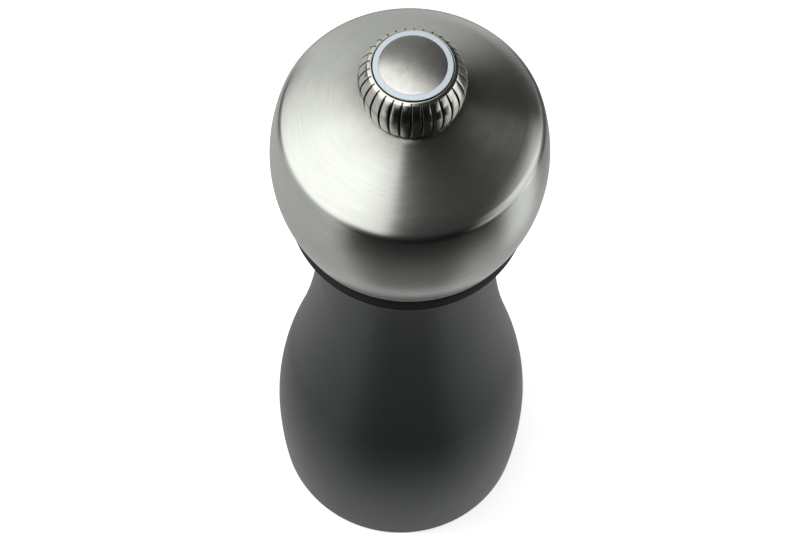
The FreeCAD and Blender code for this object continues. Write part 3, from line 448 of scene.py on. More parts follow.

# %% [markdown]
# ### Brushed steel of the head
# The head is brushed round its axis. The lines spread each reflection across them,
# from the knob down to the edge. An anisotropic shader draws a reflection out along
# its tangent, and the tangent runs round the axis here, so it is turned by a quarter.
# Fine lines in the bump and the colour, and slow streaks in the roughness, keep the
# surface from looking like a gradient. Round the knob's foot the colour is darker: painted shade.

# %% Material: brushed head
brushed_head, tree, shader = new_material("brushed_head_steel", metallic=1.0, Anisotropic=0.5,
                                          Anisotropic_Rotation=0.25)
lines = use_group(tree, turning_lines, Lines_per_metre=1900.0, Breaks_per_turn=3.0)
marks = use_group(tree, handling_marks, Patches_per_metre=45.0)
# painted shade round the knob's foot
knob_shade = use_group(tree, joint_shade, Joint_radius=10.5 * MM, Reach=11.0 * MM)
steel = blend_colours(tree, lines["Height"], colour(0.50, 0.516, 0.475),
                      colour(0.62, 0.637, 0.593))
# painted shade: the steel's colour is darkened round the knob's foot
shaded_steel = blend_colours(tree, knob_shade["Grime"], steel, colour(0.26, 0.262, 0.24))
dull = between(tree, marks["Patches"], 0.21, 0.25)
sheen = reckon(tree, "ADD", dull, between(tree, lines["Streaks"], -0.04, 0.04))
tangent = place(tree, "Tangent", direction_type="UV_MAP", uv_map="turning")
wire(tree, shader, Base_Color=shaded_steel, Roughness=sheen, Tangent=tangent.outputs[0])
bump(tree, shader, lines["Height"], 0.005 * MM)
print("material:", brushed_head.name)

# %% [markdown]
# ### Polished nickel of the knob
# The knob is plated and polished, so its lands mirror the studio with a crisp edge.
# The flutes between them are coloured nearly black and rougher. The mesh
# carries a number for how deep each place lies in a flute, and that number drives
# both colour and roughness.

# %% Material: polished knob
FLUTE_ROUGHNESS = 0.5
polished_knob, tree, shader = new_material("polished_knob", metallic=1.0)
depth = place(tree, "Attribute", attribute_name="flute_depth").outputs["Fac"]
marks = use_group(tree, handling_marks, Patches_per_metre=260.0)
plate = blend_colours(tree, marks["Patches"], colour(0.60, 0.595, 0.545),
                      colour(0.69, 0.685, 0.63))
# the colour goes to nearly black the deeper a place lies in a flute
shade = blend_colours(tree, depth, plate, colour(0.03, 0.028, 0.025))
polish = between(tree, marks["Patches"], 0.12, 0.17)
rough = place(tree, "Mix", {0: depth, 2: polish, 3: FLUTE_ROUGHNESS}, data_type="FLOAT")
wire(tree, shader, Base_Color=shade, Roughness=rough.outputs[0])
print("material:", polished_knob.name)

# %% [markdown]
# ### Satin disc and pale enamel
# The disc let into the knob is satin steel, a little domed. A ring of pale enamel
# runs round its edge: not metal, smooth, with a cool tint.

# %% Material: satin disc
satin_disc, tree, shader = new_material("satin_disc", metallic=1.0)
marks = use_group(tree, handling_marks, Patches_per_metre=350.0,
                  Specks_per_metre=5200.0, Speck_share=0.25)
lines = use_group(tree, turning_lines, Lines_per_metre=16000.0, Breaks_per_turn=2.0)
steel = blend_colours(tree, marks["Patches"], colour(0.545, 0.545, 0.505),
                      colour(0.625, 0.625, 0.585))
grain = blend_colours(tree, marks["Specks"], steel, colour(0.45, 0.44, 0.41))
wire(tree, shader, Base_Color=grain, Roughness=between(tree, lines["Height"], 0.16, 0.25))
bump(tree, shader, lines["Height"], 0.004 * MM)
print("material:", satin_disc.name)

# %% Material: pale enamel
pale_enamel, tree, shader = new_material("pale_enamel", Coat_Weight=0.3)
skin = use_group(tree, surface_skin, Bumps_per_metre=2200.0)
tint = blend_colours(tree, skin["Height"], colour(0.62, 0.71, 0.79), colour(0.68, 0.77, 0.84))
wire(tree, shader, Base_Color=tint, Roughness=between(tree, skin["Height"], 0.3, 0.42))
bump(tree, shader, skin["Height"], 0.01 * MM)
print("material:", pale_enamel.name)

# %% [markdown]
# ### Graphite lacquer of the body
# The wood is sprayed a dark graphite and stays satin. No grain shows through, only
# the shallow waviness of the lacquer and, very faintly, the slow changes in gloss
# that hands leave. A thin coat over a rougher base gives the soft, layered highlight,
# and the base's shine has the cool tint that the picture shows.

# %% Material: graphite lacquer
graphite_lacquer, tree, shader = new_material("graphite_lacquer", Specular_IOR_Level=0.4,
                                              Specular_Tint=colour(0.86, 0.98, 1.0),
                                              Coat_Weight=0.12, Coat_Roughness=0.22)
skin = use_group(tree, surface_skin, Bumps_per_metre=900.0)
marks = use_group(tree, handling_marks, Patches_per_metre=28.0, Specks_per_metre=1100.0,
                  Speck_share=0.01)
paint = blend_colours(tree, marks["Patches"], colour(0.0065, 0.0070, 0.0080),
                      colour(0.0095, 0.0100, 0.0112))
dusty = blend_colours(tree, marks["Specks"], paint, colour(0.05, 0.05, 0.052))
wire(tree, shader, Base_Color=dusty, Roughness=between(tree, marks["Patches"], 0.33, 0.39))
bump(tree, shader, skin["Height"], 0.012 * MM)
print("material:", graphite_lacquer.name)

# %% [markdown]
# ### Mouldings and the metal inside
# The band, bush, plug and core are moulded, the grinder is a hard pale plastic, and
# the rest is stainless sheet, wire and screws, an aluminium rod and a brass insert.
# Two recipes cover them all: one for mouldings and one for machined metal.

# %% Recipe: mouldings
ROUGHNESS_SPREAD = 0.08


def make_moulding(name, dark, pale, roughness, gloss=0.5):
    """Moulded plastic; its patches go from dark to pale and get a little rougher."""
    material, tree, shader = new_material(name, Specular_IOR_Level=gloss)
    skin = use_group(tree, surface_skin, Bumps_per_metre=2600.0)
    marks = use_group(tree, handling_marks, Patches_per_metre=70.0)
    tint = blend_colours(tree, marks["Patches"], dark, pale)
    rough = between(tree, marks["Patches"], roughness, roughness + ROUGHNESS_SPREAD)
    wire(tree, shader, Base_Color=tint, Roughness=rough)
    bump(tree, shader, skin["Height"], 0.015 * MM)
    return material


black_moulding = make_moulding("black_moulding", colour(0.004, 0.004, 0.0045),
                               colour(0.007, 0.007, 0.0075), 0.42, gloss=0.07)
grey_moulding = make_moulding("grey_moulding", colour(0.075, 0.076, 0.08),
                              colour(0.09, 0.091, 0.095), 0.45)
pale_moulding = make_moulding("pale_moulding", colour(0.72, 0.71, 0.66),
                              colour(0.78, 0.77, 0.73), 0.36)
print("mouldings: %s, %s, %s" % (black_moulding.name, grey_moulding.name, pale_moulding.name))

# %% Recipe: machined metal
GRAIN_SPREAD = 0.06


def make_machined(name, dark, pale, roughness):
    """Cut or drawn metal; its grain is in the roughness and, very shallow, in the bump."""
    material, tree, shader = new_material(name, metallic=1.0)
    skin = use_group(tree, surface_skin, Bumps_per_metre=1800.0)
    marks = use_group(tree, handling_marks, Patches_per_metre=160.0)
    tint = blend_colours(tree, marks["Patches"], dark, pale)
    rough = between(tree, skin["Height"], roughness - GRAIN_SPREAD, roughness + GRAIN_SPREAD)
    wire(tree, shader, Base_Color=tint, Roughness=rough)
    bump(tree, shader, skin["Height"], 0.006 * MM)
    return material


stainless = make_machined("stainless", colour(0.5, 0.49, 0.47), colour(0.6, 0.59, 0.57), 0.3)
drawn_aluminium = make_machined("drawn_aluminium", colour(0.66, 0.66, 0.67),
                                colour(0.75, 0.75, 0.76), 0.32)
turned_brass = make_machined("turned_brass", colour(0.66, 0.46, 0.18),
                             colour(0.76, 0.55, 0.24), 0.26)
print("materials:", len(bpy.data.materials))

# %% [markdown]
# ## The wooden body
# The outline is the one the turner follows: a foot, a long belly that turns into a
# waist, and a flare up to the rim. Two arcs that share a tangent make the long
# S-curve: the belly's radius is chosen, and the waist's follows from the drop and the
# span between them. Inside, the bore for the salt and the steps for the mechanism
# belong to the same outline, because they show as soon as the head is lifted.

# %% Dressing a piece
def dress(piece, material, body, node):
    """Give a new piece its material, its body and the node it stands for."""
    piece.data.materials.append(material)
    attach(piece, body)
    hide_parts(node)
    print("%s rides on %s in place of %s" % (piece.name, body, node))


# %% The wooden body
def wood_outline():
    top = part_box("body_shell")[1].z
    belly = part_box("body_shell")[1].x
    foot, foot_round = 32.8 * MM, 1.5 * MM
    belly_height, belly_curve = 23.0 * MM, 140.0 * MM
    waist, waist_height = 21.8 * MM, 121.0 * MM
    rim, rim_round = 28.2 * MM, 0.5 * MM
    seat_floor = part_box("neck_bush")[0].z - 0.1 * MM
    seat = 20.0 * MM
    chamber = 17.5 * MM
    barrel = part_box("mechanism_housing")[1].z + 0.3 * MM
    barrel_radius, recess_radius, recess_floor = 22.0 * MM, 28.2 * MM, 6.0 * MM
    drop = belly - waist
    span = waist_height - belly_height
    sweep = arc_radius(drop, span)
    flow = (belly - drop * belly_curve / sweep, belly_height + span * belly_curve / sweep)
    foot_curve = arc_radius(belly - foot, belly_height - foot_round)
    flare_curve = arc_radius(rim - waist, top - rim_round - waist_height)
    points = [(recess_radius, 0.0), (foot - foot_round, 0.0)]
    points += arc(points[-1], (foot, foot_round), foot_round, steps=10)
    points += arc(points[-1], (belly, belly_height), foot_curve)
    points += arc(points[-1], flow, belly_curve, steps=40)
    points += arc(points[-1], (waist, waist_height), sweep - belly_curve, -1, steps=40)
    points += arc(points[-1], (rim, top - rim_round), flare_curve, -1)
    points += arc(points[-1], (rim - rim_round, top), rim_round, steps=8)
    points += [(seat, top), (seat, seat_floor), (chamber, seat_floor), (chamber, barrel),
               (barrel_radius, barrel), (barrel_radius, recess_floor),
               (recess_radius, recess_floor)]
    return softened(points, 0.3 * MM)


dress(lathe("wooden_body", wood_outline()), graphite_lacquer,
      "body", "body_shell")

# %% [markdown]
# ## The bush in the neck and the black band
# The head doesn't run on wood. A black bush lines the neck, and its flange lies on
# the rim. Above a hair's gap follows the black band that closes the steel head from
# below. In the picture, the two make the dark line between head and body, so both
# are turned again with their small roundings.

# %% Neck bush and black band
def bush_outline():
    low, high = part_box("neck_bush")
    bore, sleeve = 17.26 * MM, 19.9 * MM
    flange = high.x
    flange_under = high.z - 1.2 * MM
    return softened([(bore, low.z), (sleeve, low.z), (sleeve, flange_under),
                     (flange, flange_under), (flange, high.z), (bore, high.z)], 0.28 * MM)


def band_outline():
    low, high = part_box("head_ring")
    outer = high.x
    inner = outer - 1.9 * MM
    band_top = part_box("head_dome")[0].z
    web = band_top - 1.5 * MM
    bore = 22.9 * MM
    step_outer, step_inner = 26.5 * MM, 24.6 * MM
    return softened([(inner, low.z), (outer, low.z), (outer, band_top), (step_outer, band_top),
                     (step_outer, high.z), (step_inner, high.z), (step_inner, band_top),
                     (bore, band_top), (bore, web), (inner, web)], 0.35 * MM)


dress(lathe("neck_collar", bush_outline()), black_moulding, "body", "neck_bush")
dress(lathe("black_band", band_outline()), black_moulding, "head", "head_ring")

# %% [markdown]
# ## The steel head
# Pressed sheet: a shallow cone from the knob's seat, a rounded crease, a belt that
# bulges and draws in again, and a lower edge rolled inwards. Sheet never bends at
# once: the last millimetres of the cone already droop a little, on a wide arc that
# leads into the tight rounding. The eye reads this from the glow beside the crease.

# %% The belt of the head
def head_belt():
    """The outer line from the rolled edge to the belt, and where the crease and seat lie."""
    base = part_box("head_dome")[0].z
    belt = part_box("head_dome")[1].x
    belt_height = base + 18.1 * MM
    lower_curve, upper_curve = 50.0 * MM, 62.0 * MM
    roll = 1.0 * MM
    crease_height = base + 34.2 * MM
    seat_radius = 9.8 * MM
    edge = belt - lower_curve + math.sqrt(lower_curve ** 2 - (belt_height - base - roll) ** 2)
    crease = belt - upper_curve + math.sqrt(upper_curve ** 2 - (crease_height - belt_height) ** 2)
    face = [(edge - roll, base)]
    face += arc(face[-1], (edge, base + roll), roll, steps=8)
    face += arc(face[-1], (belt, belt_height), lower_curve, steps=32)
    seat = (seat_radius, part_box("head_dome")[1].z)
    return face, (crease, crease_height), upper_curve, seat


print("the belt has %d points" % len(head_belt()[0]))

# %% [markdown]
# ### The crease
# Three circles touch here: the belt's, the tight rounding's and the droop's. The small
# one lies inside both large ones, so its middle is as far from each of their middles
# as the radii differ. That is one triangle, and its third corner is the answer.

# %% The crease of the head
CREASE_RADIUS = 4.0 * MM
DROOP = 34.0 * MM
DROOP_START = 26.0 * MM


def crease_round(face, corner, upper_curve, seat):
    """Points of the upper belt, the tight rounding and the cone's droop."""
    belt_centre = Vector(face[-1]) - Vector((upper_curve, 0.0))
    down = (Vector(corner) - Vector(seat)).normalized()
    start = Vector(seat) + down * ((DROOP_START - seat[0]) / down.x)
    droop_centre = start + Vector((down.y, -down.x)) * DROOP
    across = belt_centre - droop_centre
    far, near = DROOP - CREASE_RADIUS, upper_curve - CREASE_RADIUS
    along = (far * far - near * near + across.length_squared) / (2 * across.length)
    way = across.normalized()
    aside = math.sqrt(far * far - along * along)
    centre = droop_centre + way * along + Vector((way.y, -way.x)) * aside
    on_belt = centre + (centre - belt_centre).normalized() * CREASE_RADIUS
    on_cone = centre + (centre - droop_centre).normalized() * CREASE_RADIUS
    steep = math.atan2(on_cone.x - centre.x, on_cone.y - centre.y)
    print("the tight rounding ends %.1f mm from the axis, %.1f degrees steep" % (
        on_cone.x / MM, math.degrees(steep)))
    points = arc(face[-1], tuple(on_belt), upper_curve, steps=24)
    points += arc(points[-1], tuple(on_cone), CREASE_RADIUS, steps=20)
    points += arc(points[-1], tuple(start), DROOP, steps=16)
    return points


# %% [markdown]
# ### The sheet
# A sheet has the same line inside, one thickness further in. Each inner point is the
# outer one moved square to the line there, and those that would reach past the lower
# edge are left out.

# %% The steel head
SHEET = 0.8 * MM
SEAT_ROUND = 12.0 * MM


def head_outline():
    face, crease, upper_curve, seat = head_belt()
    top = seat[1]
    hole = 3.9 * MM
    face += crease_round(face, crease, upper_curve, seat)
    face += rounded(face[-1], seat, (hole, top), SEAT_ROUND, steps=16)
    inner = []
    for before, here, after in zip(face, face[1:], face[2:]):
        way = (Vector(after) - Vector(before)).normalized()
        inner.append((here[0] - way.y * SHEET, here[1] + way.x * SHEET))
    lip = 26.8 * MM
    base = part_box("head_dome")[0].z
    points = [(lip, base)] + face + [(hole, top), (hole, top - SHEET)]
    points += [point for point in reversed(inner) if point[1] > base + SHEET]
    points += [(lip, base + SHEET)]
    return points


dress(lathe("steel_head", head_outline()), brushed_head, "head", "head_dome")

# %% [markdown]
# ## The fluted knob
# A barrel with thirty narrow grooves. Above and below its belt the barrel follows an
# arc that leaves the belt upright, and so does the floor of the grooves, a little
# further in. Their floor is deepest at the belt and passes just inside the shoulder:
# each groove notches the bevel there and ends in a point.

# %% Measures of the knob
FLUTES = 30
FLUTE_RADIUS = 0.28 * MM
FLUTE_DEPTH = 0.36 * MM
FLUTE_FOOT_DEPTH = 0.14 * MM
FLUTE_DIP = 0.15 * MM
LAND_CROWN = 0.07 * MM
KNOB_BASE, KNOB_TOP = (corner.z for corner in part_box("adjusting_knob"))
KNOB_RADIUS = 12.2 * MM
KNOB_BELT = KNOB_BASE + 6.1 * MM
KNOB_FOOT = 10.8 * MM
KNOB_FOOT_ROUND = 0.6 * MM
SHOULDER = 10.05 * MM
BEVEL = 0.4 * MM
RECESS = 9.1 * MM
RECESS_DEPTH = 0.8 * MM
SOCKET = 3.5 * MM
SOCKET_DEPTH = 9.75 * MM
print("knob %.1f mm high, %d grooves %.2f mm deep" % (
    (KNOB_TOP - KNOB_BASE) / MM, FLUTES, FLUTE_DEPTH / MM))


# %% Arcs of the barrel and of the grooves' floor
SHOULDER_RISE = KNOB_TOP - BEVEL - KNOB_BELT
FOOT_DROP = KNOB_BELT - KNOB_BASE - KNOB_FOOT_ROUND
UPPER_STEP = KNOB_RADIUS - SHOULDER
LOWER_STEP = KNOB_RADIUS - KNOB_FOOT - KNOB_FOOT_ROUND
UPPER_CURVE = arc_radius(UPPER_STEP, SHOULDER_RISE)
LOWER_CURVE = arc_radius(LOWER_STEP, FOOT_DROP)
UPPER_FLOOR = arc_radius(UPPER_STEP - FLUTE_DEPTH + FLUTE_DIP, SHOULDER_RISE)
LOWER_FLOOR = arc_radius(LOWER_STEP - FLUTE_DEPTH + FLUTE_FOOT_DEPTH, FOOT_DROP)
print("barrel arcs %.1f and %.1f mm, groove floors %.1f and %.1f mm" % (
    LOWER_CURVE / MM, UPPER_CURVE / MM, LOWER_FLOOR / MM, UPPER_FLOOR / MM))

# %% The knob's outline
SHOULDER_ROUND = 0.9 * MM
LIP_ROUND = 0.2 * MM
PIN_HOLE = 0.05 * MM


def knob_outline():
    """The barrel, its bevel with a few points more for the notches, the recess and the socket."""
    shoulder = (SHOULDER, KNOB_TOP - BEVEL)
    lip = (RECESS, KNOB_TOP)
    floor = KNOB_TOP - RECESS_DEPTH
    points = [(SOCKET, KNOB_BASE), (KNOB_FOOT - 1.2 * MM, KNOB_BASE), (KNOB_FOOT, KNOB_BASE)]
    points += arc(points[-1], (KNOB_FOOT + KNOB_FOOT_ROUND, KNOB_BASE + KNOB_FOOT_ROUND),
                  KNOB_FOOT_ROUND, steps=6)
    points += arc(points[-1], (KNOB_RADIUS, KNOB_BELT), LOWER_CURVE, steps=14)
    points += arc(points[-1], shoulder, UPPER_CURVE, steps=30)[:-1]
    points += rounded(points[-1], shoulder, lip, SHOULDER_ROUND, steps=8)
    bevel = Vector(points[-1])
    points += [tuple(bevel.lerp(Vector(lip), share)) for share in (0.1, 0.2, 0.3, 0.4)]
    points += rounded(shoulder, lip, (RECESS, floor), LIP_ROUND, steps=8)
    points += [(RECESS, floor + 0.1 * MM), (RECESS, floor),
               (PIN_HOLE, floor), (PIN_HOLE, KNOB_BASE + SOCKET_DEPTH + 0.02 * MM),
               (SOCKET, KNOB_BASE + SOCKET_DEPTH)]
    return points


print("the knob's outline has %d points" % len(knob_outline()))

# %% [markdown]
# ### Grooves
# A boolean for each groove would work, but it leaves slivers that spoil the
# reflections. Here each ring of vertices is moved instead: the angles crowd together at
# a groove, and every point slides in towards the floor by the groove's depth there.
# The lands between are crowned a little, as polishing leaves them.

# %% Angles round the knob
def knob_angles():
    """Angles that crowd together at each groove; a groove faces the front."""
    pitch = 2 * math.pi / FLUTES
    half = FLUTE_RADIUS / KNOB_RADIUS
    shares = [0.0, 0.25, 0.5, 0.7, 0.85, 0.96, 1.04, 1.15, 1.35, 1.8, 2.6, 3.5]
    steps = sorted({round(sign * share * half, 9) for share in shares for sign in (-1, 1)})
    steps.append(pitch / 2)
    angles = []
    for flute in range(FLUTES):
        middle = pitch * (flute + 0.5)
        angles += [middle + step for step in steps]
    return sorted(angle % (2 * math.pi) for angle in angles)


print("the knob has %d angles" % len(knob_angles()))


# %% Depth of the grooves
def above_floor(radius, height):
    """How far a point is above the grooves' floor, and the way out from that floor."""
    curve = UPPER_FLOOR if height > KNOB_BELT else LOWER_FLOOR
    out = Vector((radius - KNOB_RADIUS + FLUTE_DEPTH + curve, height - KNOB_BELT))
    return out.length - curve, out.normalized()


def beside_groove(angle):
    """Distance round the belt from the nearest groove's middle."""
    pitch = 2 * math.pi / FLUTES
    return abs((angle / pitch) % 1.0 - 0.5) * pitch * KNOB_RADIUS


def groove_cut(off, depth):
    """How deep a round groove cuts at a distance from its middle."""
    if off >= FLUTE_RADIUS:
        return 0.0
    return max(depth - FLUTE_RADIUS + math.sqrt(FLUTE_RADIUS ** 2 - off ** 2), 0.0)


print("a groove is %.2f mm deep at the belt" % (groove_cut(0.0, FLUTE_DEPTH) / MM))

# %% The knob
CROWN_FADE = 0.8 * MM
JUST_OFF = 0.001 * MM


def carve_flutes(angle, radius, height):
    """The point's new radius and height, once the groove and the land's crown are cut."""
    if radius < RECESS + 0.02 * MM or height < KNOB_BASE + JUST_OFF:
        return radius, height
    off = beside_groove(angle)
    depth, out = above_floor(radius, height)
    half_pitch = math.pi / FLUTES * KNOB_RADIUS
    edge = max((off - FLUTE_RADIUS) / (half_pitch - FLUTE_RADIUS), 0.0)
    fade = min(max((KNOB_TOP - BEVEL - height) / CROWN_FADE, 0.0), 1.0)
    cut = groove_cut(off, depth) + LAND_CROWN * fade * (1.0 - edge) ** 3
    moved = Vector((radius, height)) - out * cut
    return moved.x, max(moved.y, KNOB_BASE)


fluted_knob = lathe("fluted_knob", knob_outline(), angles=knob_angles(), carve=carve_flutes)

# %% [markdown]
# ### Darker colour in the grooves
# The material asks for a number that says how deep each place lies in a groove. It is
# worked out once for each vertex, from the same measures that cut the groove.

# %% Depth for the finish
FLOOR_SHARE = 0.3


def depth_in_flute(place_on):
    """0 on the lands and 1 on the floor of a groove, for the finish."""
    angle = math.atan2(place_on.y, place_on.x) % (2 * math.pi)
    radius = math.hypot(place_on.x, place_on.y)
    rise = place_on.z - KNOB_BELT
    if radius < RECESS + 0.3 * MM or rise > SHOULDER_RISE + 0.5 * BEVEL:
        return 0.0
    curve = UPPER_CURVE if rise > 0.0 else LOWER_CURVE
    surface = KNOB_RADIUS - curve + math.sqrt(curve * curve - min(rise, SHOULDER_RISE) ** 2)
    depth = above_floor(surface, place_on.z)[0]
    return min(groove_cut(beside_groove(angle), depth) / (FLOOR_SHARE * FLUTE_DEPTH), 1.0)


mark(fluted_knob, "flute_depth", depth_in_flute)
dress(fluted_knob, polished_knob, "knob", "adjusting_knob")

# %% [markdown]
# ## The disc and its enamel ring
# The disc stands slightly proud of the rim, with a thin dark gap round it. The pale
# ring is a piece of its own, laid in a shallow step, so that its edge stays crisp
# however near the camera comes.

# %% Measures of the disc
DISC_BASE, DISC_TOP = (corner.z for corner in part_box("knob_disc"))
DISC_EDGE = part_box("knob_disc")[1].x
DISC_RISE = DISC_TOP - DISC_BASE - 1.1 * MM
RING_INSIDE = 0.855 * DISC_EDGE
INLAY = 0.06 * MM
DOME_STEPS = 24


def dome(radius):
    """Height of the disc's shallow dome at a radius."""
    curve = arc_radius(DISC_RISE, DISC_EDGE)
    return DISC_TOP - curve + math.sqrt(curve * curve - radius * radius)


print("the disc rises %.2f mm from its edge to its middle" % (DISC_RISE / MM))

# %% The disc
DISC_MIDDLE = 0.02 * MM


def disc_outline():
    """The metal, with a step under the ring that gets deeper towards the edge."""
    step_floor = dome(DISC_EDGE) - 4 * INLAY
    points = [(DISC_MIDDLE, DISC_BASE), (DISC_EDGE, DISC_BASE), (DISC_EDGE, step_floor),
              (DISC_EDGE - 0.3 * MM, step_floor), (RING_INSIDE, dome(RING_INSIDE) - 2 * INLAY)]
    for step in range(DOME_STEPS + 1):
        radius = RING_INSIDE * (1 - step / DOME_STEPS)
        points.append((radius + DISC_MIDDLE * step / DOME_STEPS, dome(radius)))
    return softened(points, 0.04 * MM)


dress(lathe("knob_disc_face", disc_outline()), satin_disc, "knob", "knob_disc")

# %% The enamel ring
RING_GAP = 0.02 * MM
RING_PROUD = 0.005 * MM


def ring_outline():
    """The enamel: it lies in the disc's step and stands a hair proud of the dome."""
    under = dome(DISC_EDGE) - 3.5 * INLAY
    points = [(RING_INSIDE + 0.03 * MM, dome(RING_INSIDE) - INLAY),
              (DISC_EDGE - 0.28 * MM, under), (DISC_EDGE - RING_GAP, under)]
    for step in range(DOME_STEPS + 1):
        share = step / DOME_STEPS
        points.append((DISC_EDGE - RING_GAP + (RING_INSIDE + 0.05 * MM - DISC_EDGE) * share,
                       dome(DISC_EDGE + (RING_INSIDE - DISC_EDGE) * share) + RING_PROUD))
    return softened(points, 0.05 * MM)


dress(lathe("enamel_ring", ring_outline()), pale_enamel, "knob", "disc_ring")

# %% [markdown]
# ## The spring
# A coil of hard wire between the square-holed bush and the washer on the rod presses
# the rotor down. It already has its shape, but a imported piece only moves as a whole,
# and this spring gets shorter when the knob is tightened. So its wire is made again,
# ring by ring along a helix.

# %% The wire of the spring
SPRING_WIRE = 0.8 * MM
SPRING_TURNS = 4
RINGS_PER_TURN = 36
WIRE_SIDES = 12


def make_coil():
    """A tube of upright rings along the helix, closed at both ends."""
    low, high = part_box("spring")
    wire = SPRING_WIRE / 2
    radius = high.x - wire
    rings = SPRING_TURNS * RINGS_PER_TURN
    rise = (high.z - low.z - SPRING_WIRE) / rings
    verts = []
    for ring in range(rings + 1):
        turned = 2 * math.pi * ring / RINGS_PER_TURN
        for side in range(WIRE_SIDES):
            about = 2 * math.pi * side / WIRE_SIDES
            out = radius + wire * math.cos(about)
            verts.append((out * math.cos(turned), out * math.sin(turned),
                          low.z + wire + rise * ring + wire * math.sin(about)))
    faces = [list(range(WIRE_SIDES)),
             [rings * WIRE_SIDES + side for side in reversed(range(WIRE_SIDES))]]
    for ring in range(rings):
        start, after = ring * WIRE_SIDES, (ring + 1) * WIRE_SIDES
        for side in range(WIRE_SIDES):
            beside = (side + 1) % WIRE_SIDES
            faces.append((start + side, after + side, after + beside, start + beside))
    coil = add_mesh("coil_spring", verts, faces, stainless)
    coil.data.polygons.foreach_set("use_smooth", [len(face) == 4 for face in faces])
    coil.data.update()
    return coil


coil_spring = make_coil()
print("coil spring: %d turns, %d faces" % (SPRING_TURNS, len(coil_spring.data.polygons)))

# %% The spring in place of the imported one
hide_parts("spring")
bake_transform(coil_spring)

# %% [markdown]
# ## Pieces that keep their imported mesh
# The grinder, its housing, the bush, bridge, washers, plug, core and screws already
# have their shape. They only need a finish, which goes into the material slots of
# their own objects. The nodes that a new piece stands for get one too, so that no
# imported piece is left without.

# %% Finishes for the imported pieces
FINISHES = (
    (graphite_lacquer, ("body_shell",)),
    (grey_moulding, ("mechanism_housing", "head_core")),
    (black_moulding, ("head_plug", "knob_washer", "neck_bush", "head_ring")),
    (pale_moulding, ("stator", "rotor", "shaft_bush")),
    (stainless, ("bridge", "spring", "spring_washer", "rotor_clip", "drive_plate", "base_screws",
                 "plug_screws", "drive_screws", "head_dome", "adjusting_knob", "knob_disc")),
    (drawn_aluminium, ("shaft",)),
    (turned_brass, ("knob_insert",)),
    (pale_enamel, ("disc_ring",)),
)


def finish_node(node, material):
    if not node.material_slots:
        node.data.materials.append(material)
    for material_slot in node.material_slots:
        material_slot.material = material


unfinished = set(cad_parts)
for material, names in FINISHES:
    for name in names:
        finish_node(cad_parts[name], material)
        unfinished.discard(name)
print("packed pieces: %d, without a finish: %d" % (len(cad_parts), len(unfinished)))

# %% [markdown]
# ## The studio
# Pictures of things on white are lit with large soft sources, and steel is shaped
# with cards: what a brushed surface shows is mostly what stands round it. The light
# itself stays plain here, a white world and two softboxes. The floor and the world
# reach white only for rays that look at them, so they light the mill no more by it.

# %% Rays that look at the background
def seen_directly(tree):
    """1 for rays that show the background: from the camera, a mirror or glass."""
    path = place(tree, "LightPath")
    both = reckon(tree, "MAXIMUM", path.outputs["Is Camera Ray"], path.outputs["Is Glossy Ray"])
    return reckon(tree, "MAXIMUM", both, path.outputs["Is Transmission Ray"])


print("helper: seen_directly")

# %% The floor
FLOOR_RADIUS = 0.9
FLOOR_SIDES = 96
FLOOR_GLOW = 0.6
pale_floor, tree, shader = new_material("pale_floor", roughness=0.9, Specular_IOR_Level=0.0,
                                        Base_Color=colour(0.86, 0.86, 0.86))
glow = place(tree, "Emission", {"Color": colour(1.0, 1.0, 1.0)})
wire(tree, glow, Strength=reckon(tree, "MULTIPLY", seen_directly(tree), FLOOR_GLOW))
both = place(tree, "AddShader", {0: shader.outputs[0], 1: glow.outputs[0]})
wire(tree, tree.nodes["Material Output"], Surface=both.outputs[0])
corners = [2 * math.pi * side / FLOOR_SIDES for side in range(FLOOR_SIDES)]
rim = [(FLOOR_RADIUS * math.cos(turn), FLOOR_RADIUS * math.sin(turn), 0.0) for turn in corners]
add_mesh("floor", rim, [tuple(range(FLOOR_SIDES))], pale_floor)
print("floor: %.1f m across" % (2 * FLOOR_RADIUS))

# %% The world
WORLD_LIGHT = 0.62
world = bpy.data.worlds.new("studio")
world.use_nodes = True
bpy.context.scene.world = world
tree = world.node_tree
lighting = tree.nodes["Background"]
lighting.inputs["Color"].default_value = colour(1.0, 1.0, 1.0)
wire(tree, lighting, Strength=between(tree, seen_directly(tree), WORLD_LIGHT, 1.0))
print("world: lights with %.2f of white" % WORLD_LIGHT)

# %% [markdown]
# ## Softboxes
# One large softbox hangs on the left, and a small one a little lower on the right. A
# lamp's energy is hard to guess, so each is given as how bright it looks, 1 being
# white, and the energy follows from its area.

# %% Places round the mill
MILL_MIDDLE = Vector((0.0, 0.0, 150.0 * MM))


def towards(azimuth, elevation, distance):
    """A place seen from the mill: azimuth 0 is the front, 90 the right."""
    turn, rise = math.radians(azimuth), math.radians(elevation)
    return MILL_MIDDLE + distance * Vector((math.sin(turn) * math.cos(rise),
                                            -math.cos(turn) * math.cos(rise), math.sin(rise)))


print("the studio is built round a point %.0f mm up" % (MILL_MIDDLE.z / MM))


# %% Softboxes
def make_softbox(name, azimuth, elevation, distance, width, height, glow):
    """A rectangular lamp that faces the mill; glow is how bright it looks, 1 being white."""
    data = bpy.data.lights.new(name, "AREA")
    data.shape = "RECTANGLE"
    data.size = width
    data.size_y = height
    data.energy = glow * math.pi * width * height
    lamp = add_object(name, data)
    lamp.location = towards(azimuth, elevation, distance)
    lamp.rotation_mode = "QUATERNION"
    lamp.rotation_quaternion = (MILL_MIDDLE - lamp.location).to_track_quat("-Z", "Y")
    lamp.visible_glossy = False


make_softbox("left_softbox", azimuth=-95.0, elevation=42.0, distance=0.9, width=0.6, height=0.5,
             glow=3.4)
make_softbox("right_softbox", azimuth=80.0, elevation=30.0, distance=0.9, width=0.3, height=0.3,
             glow=1.2)
print("lights:", len(bpy.data.lights))

# %% [markdown]
# ## Cards
# A card is what the steel mirrors: white on the left and above and one upright on the
# right, black in front and round the right, grey behind. Real ones are cloth, and
# their edges are far out of focus, so each has a soft edge here: a number falls to
# nothing at its rim and mixes it with nothing at all. Only reflections see the cards.
# They neither light the mill nor shade it.

# %% A card
CARD_STEPS = 32


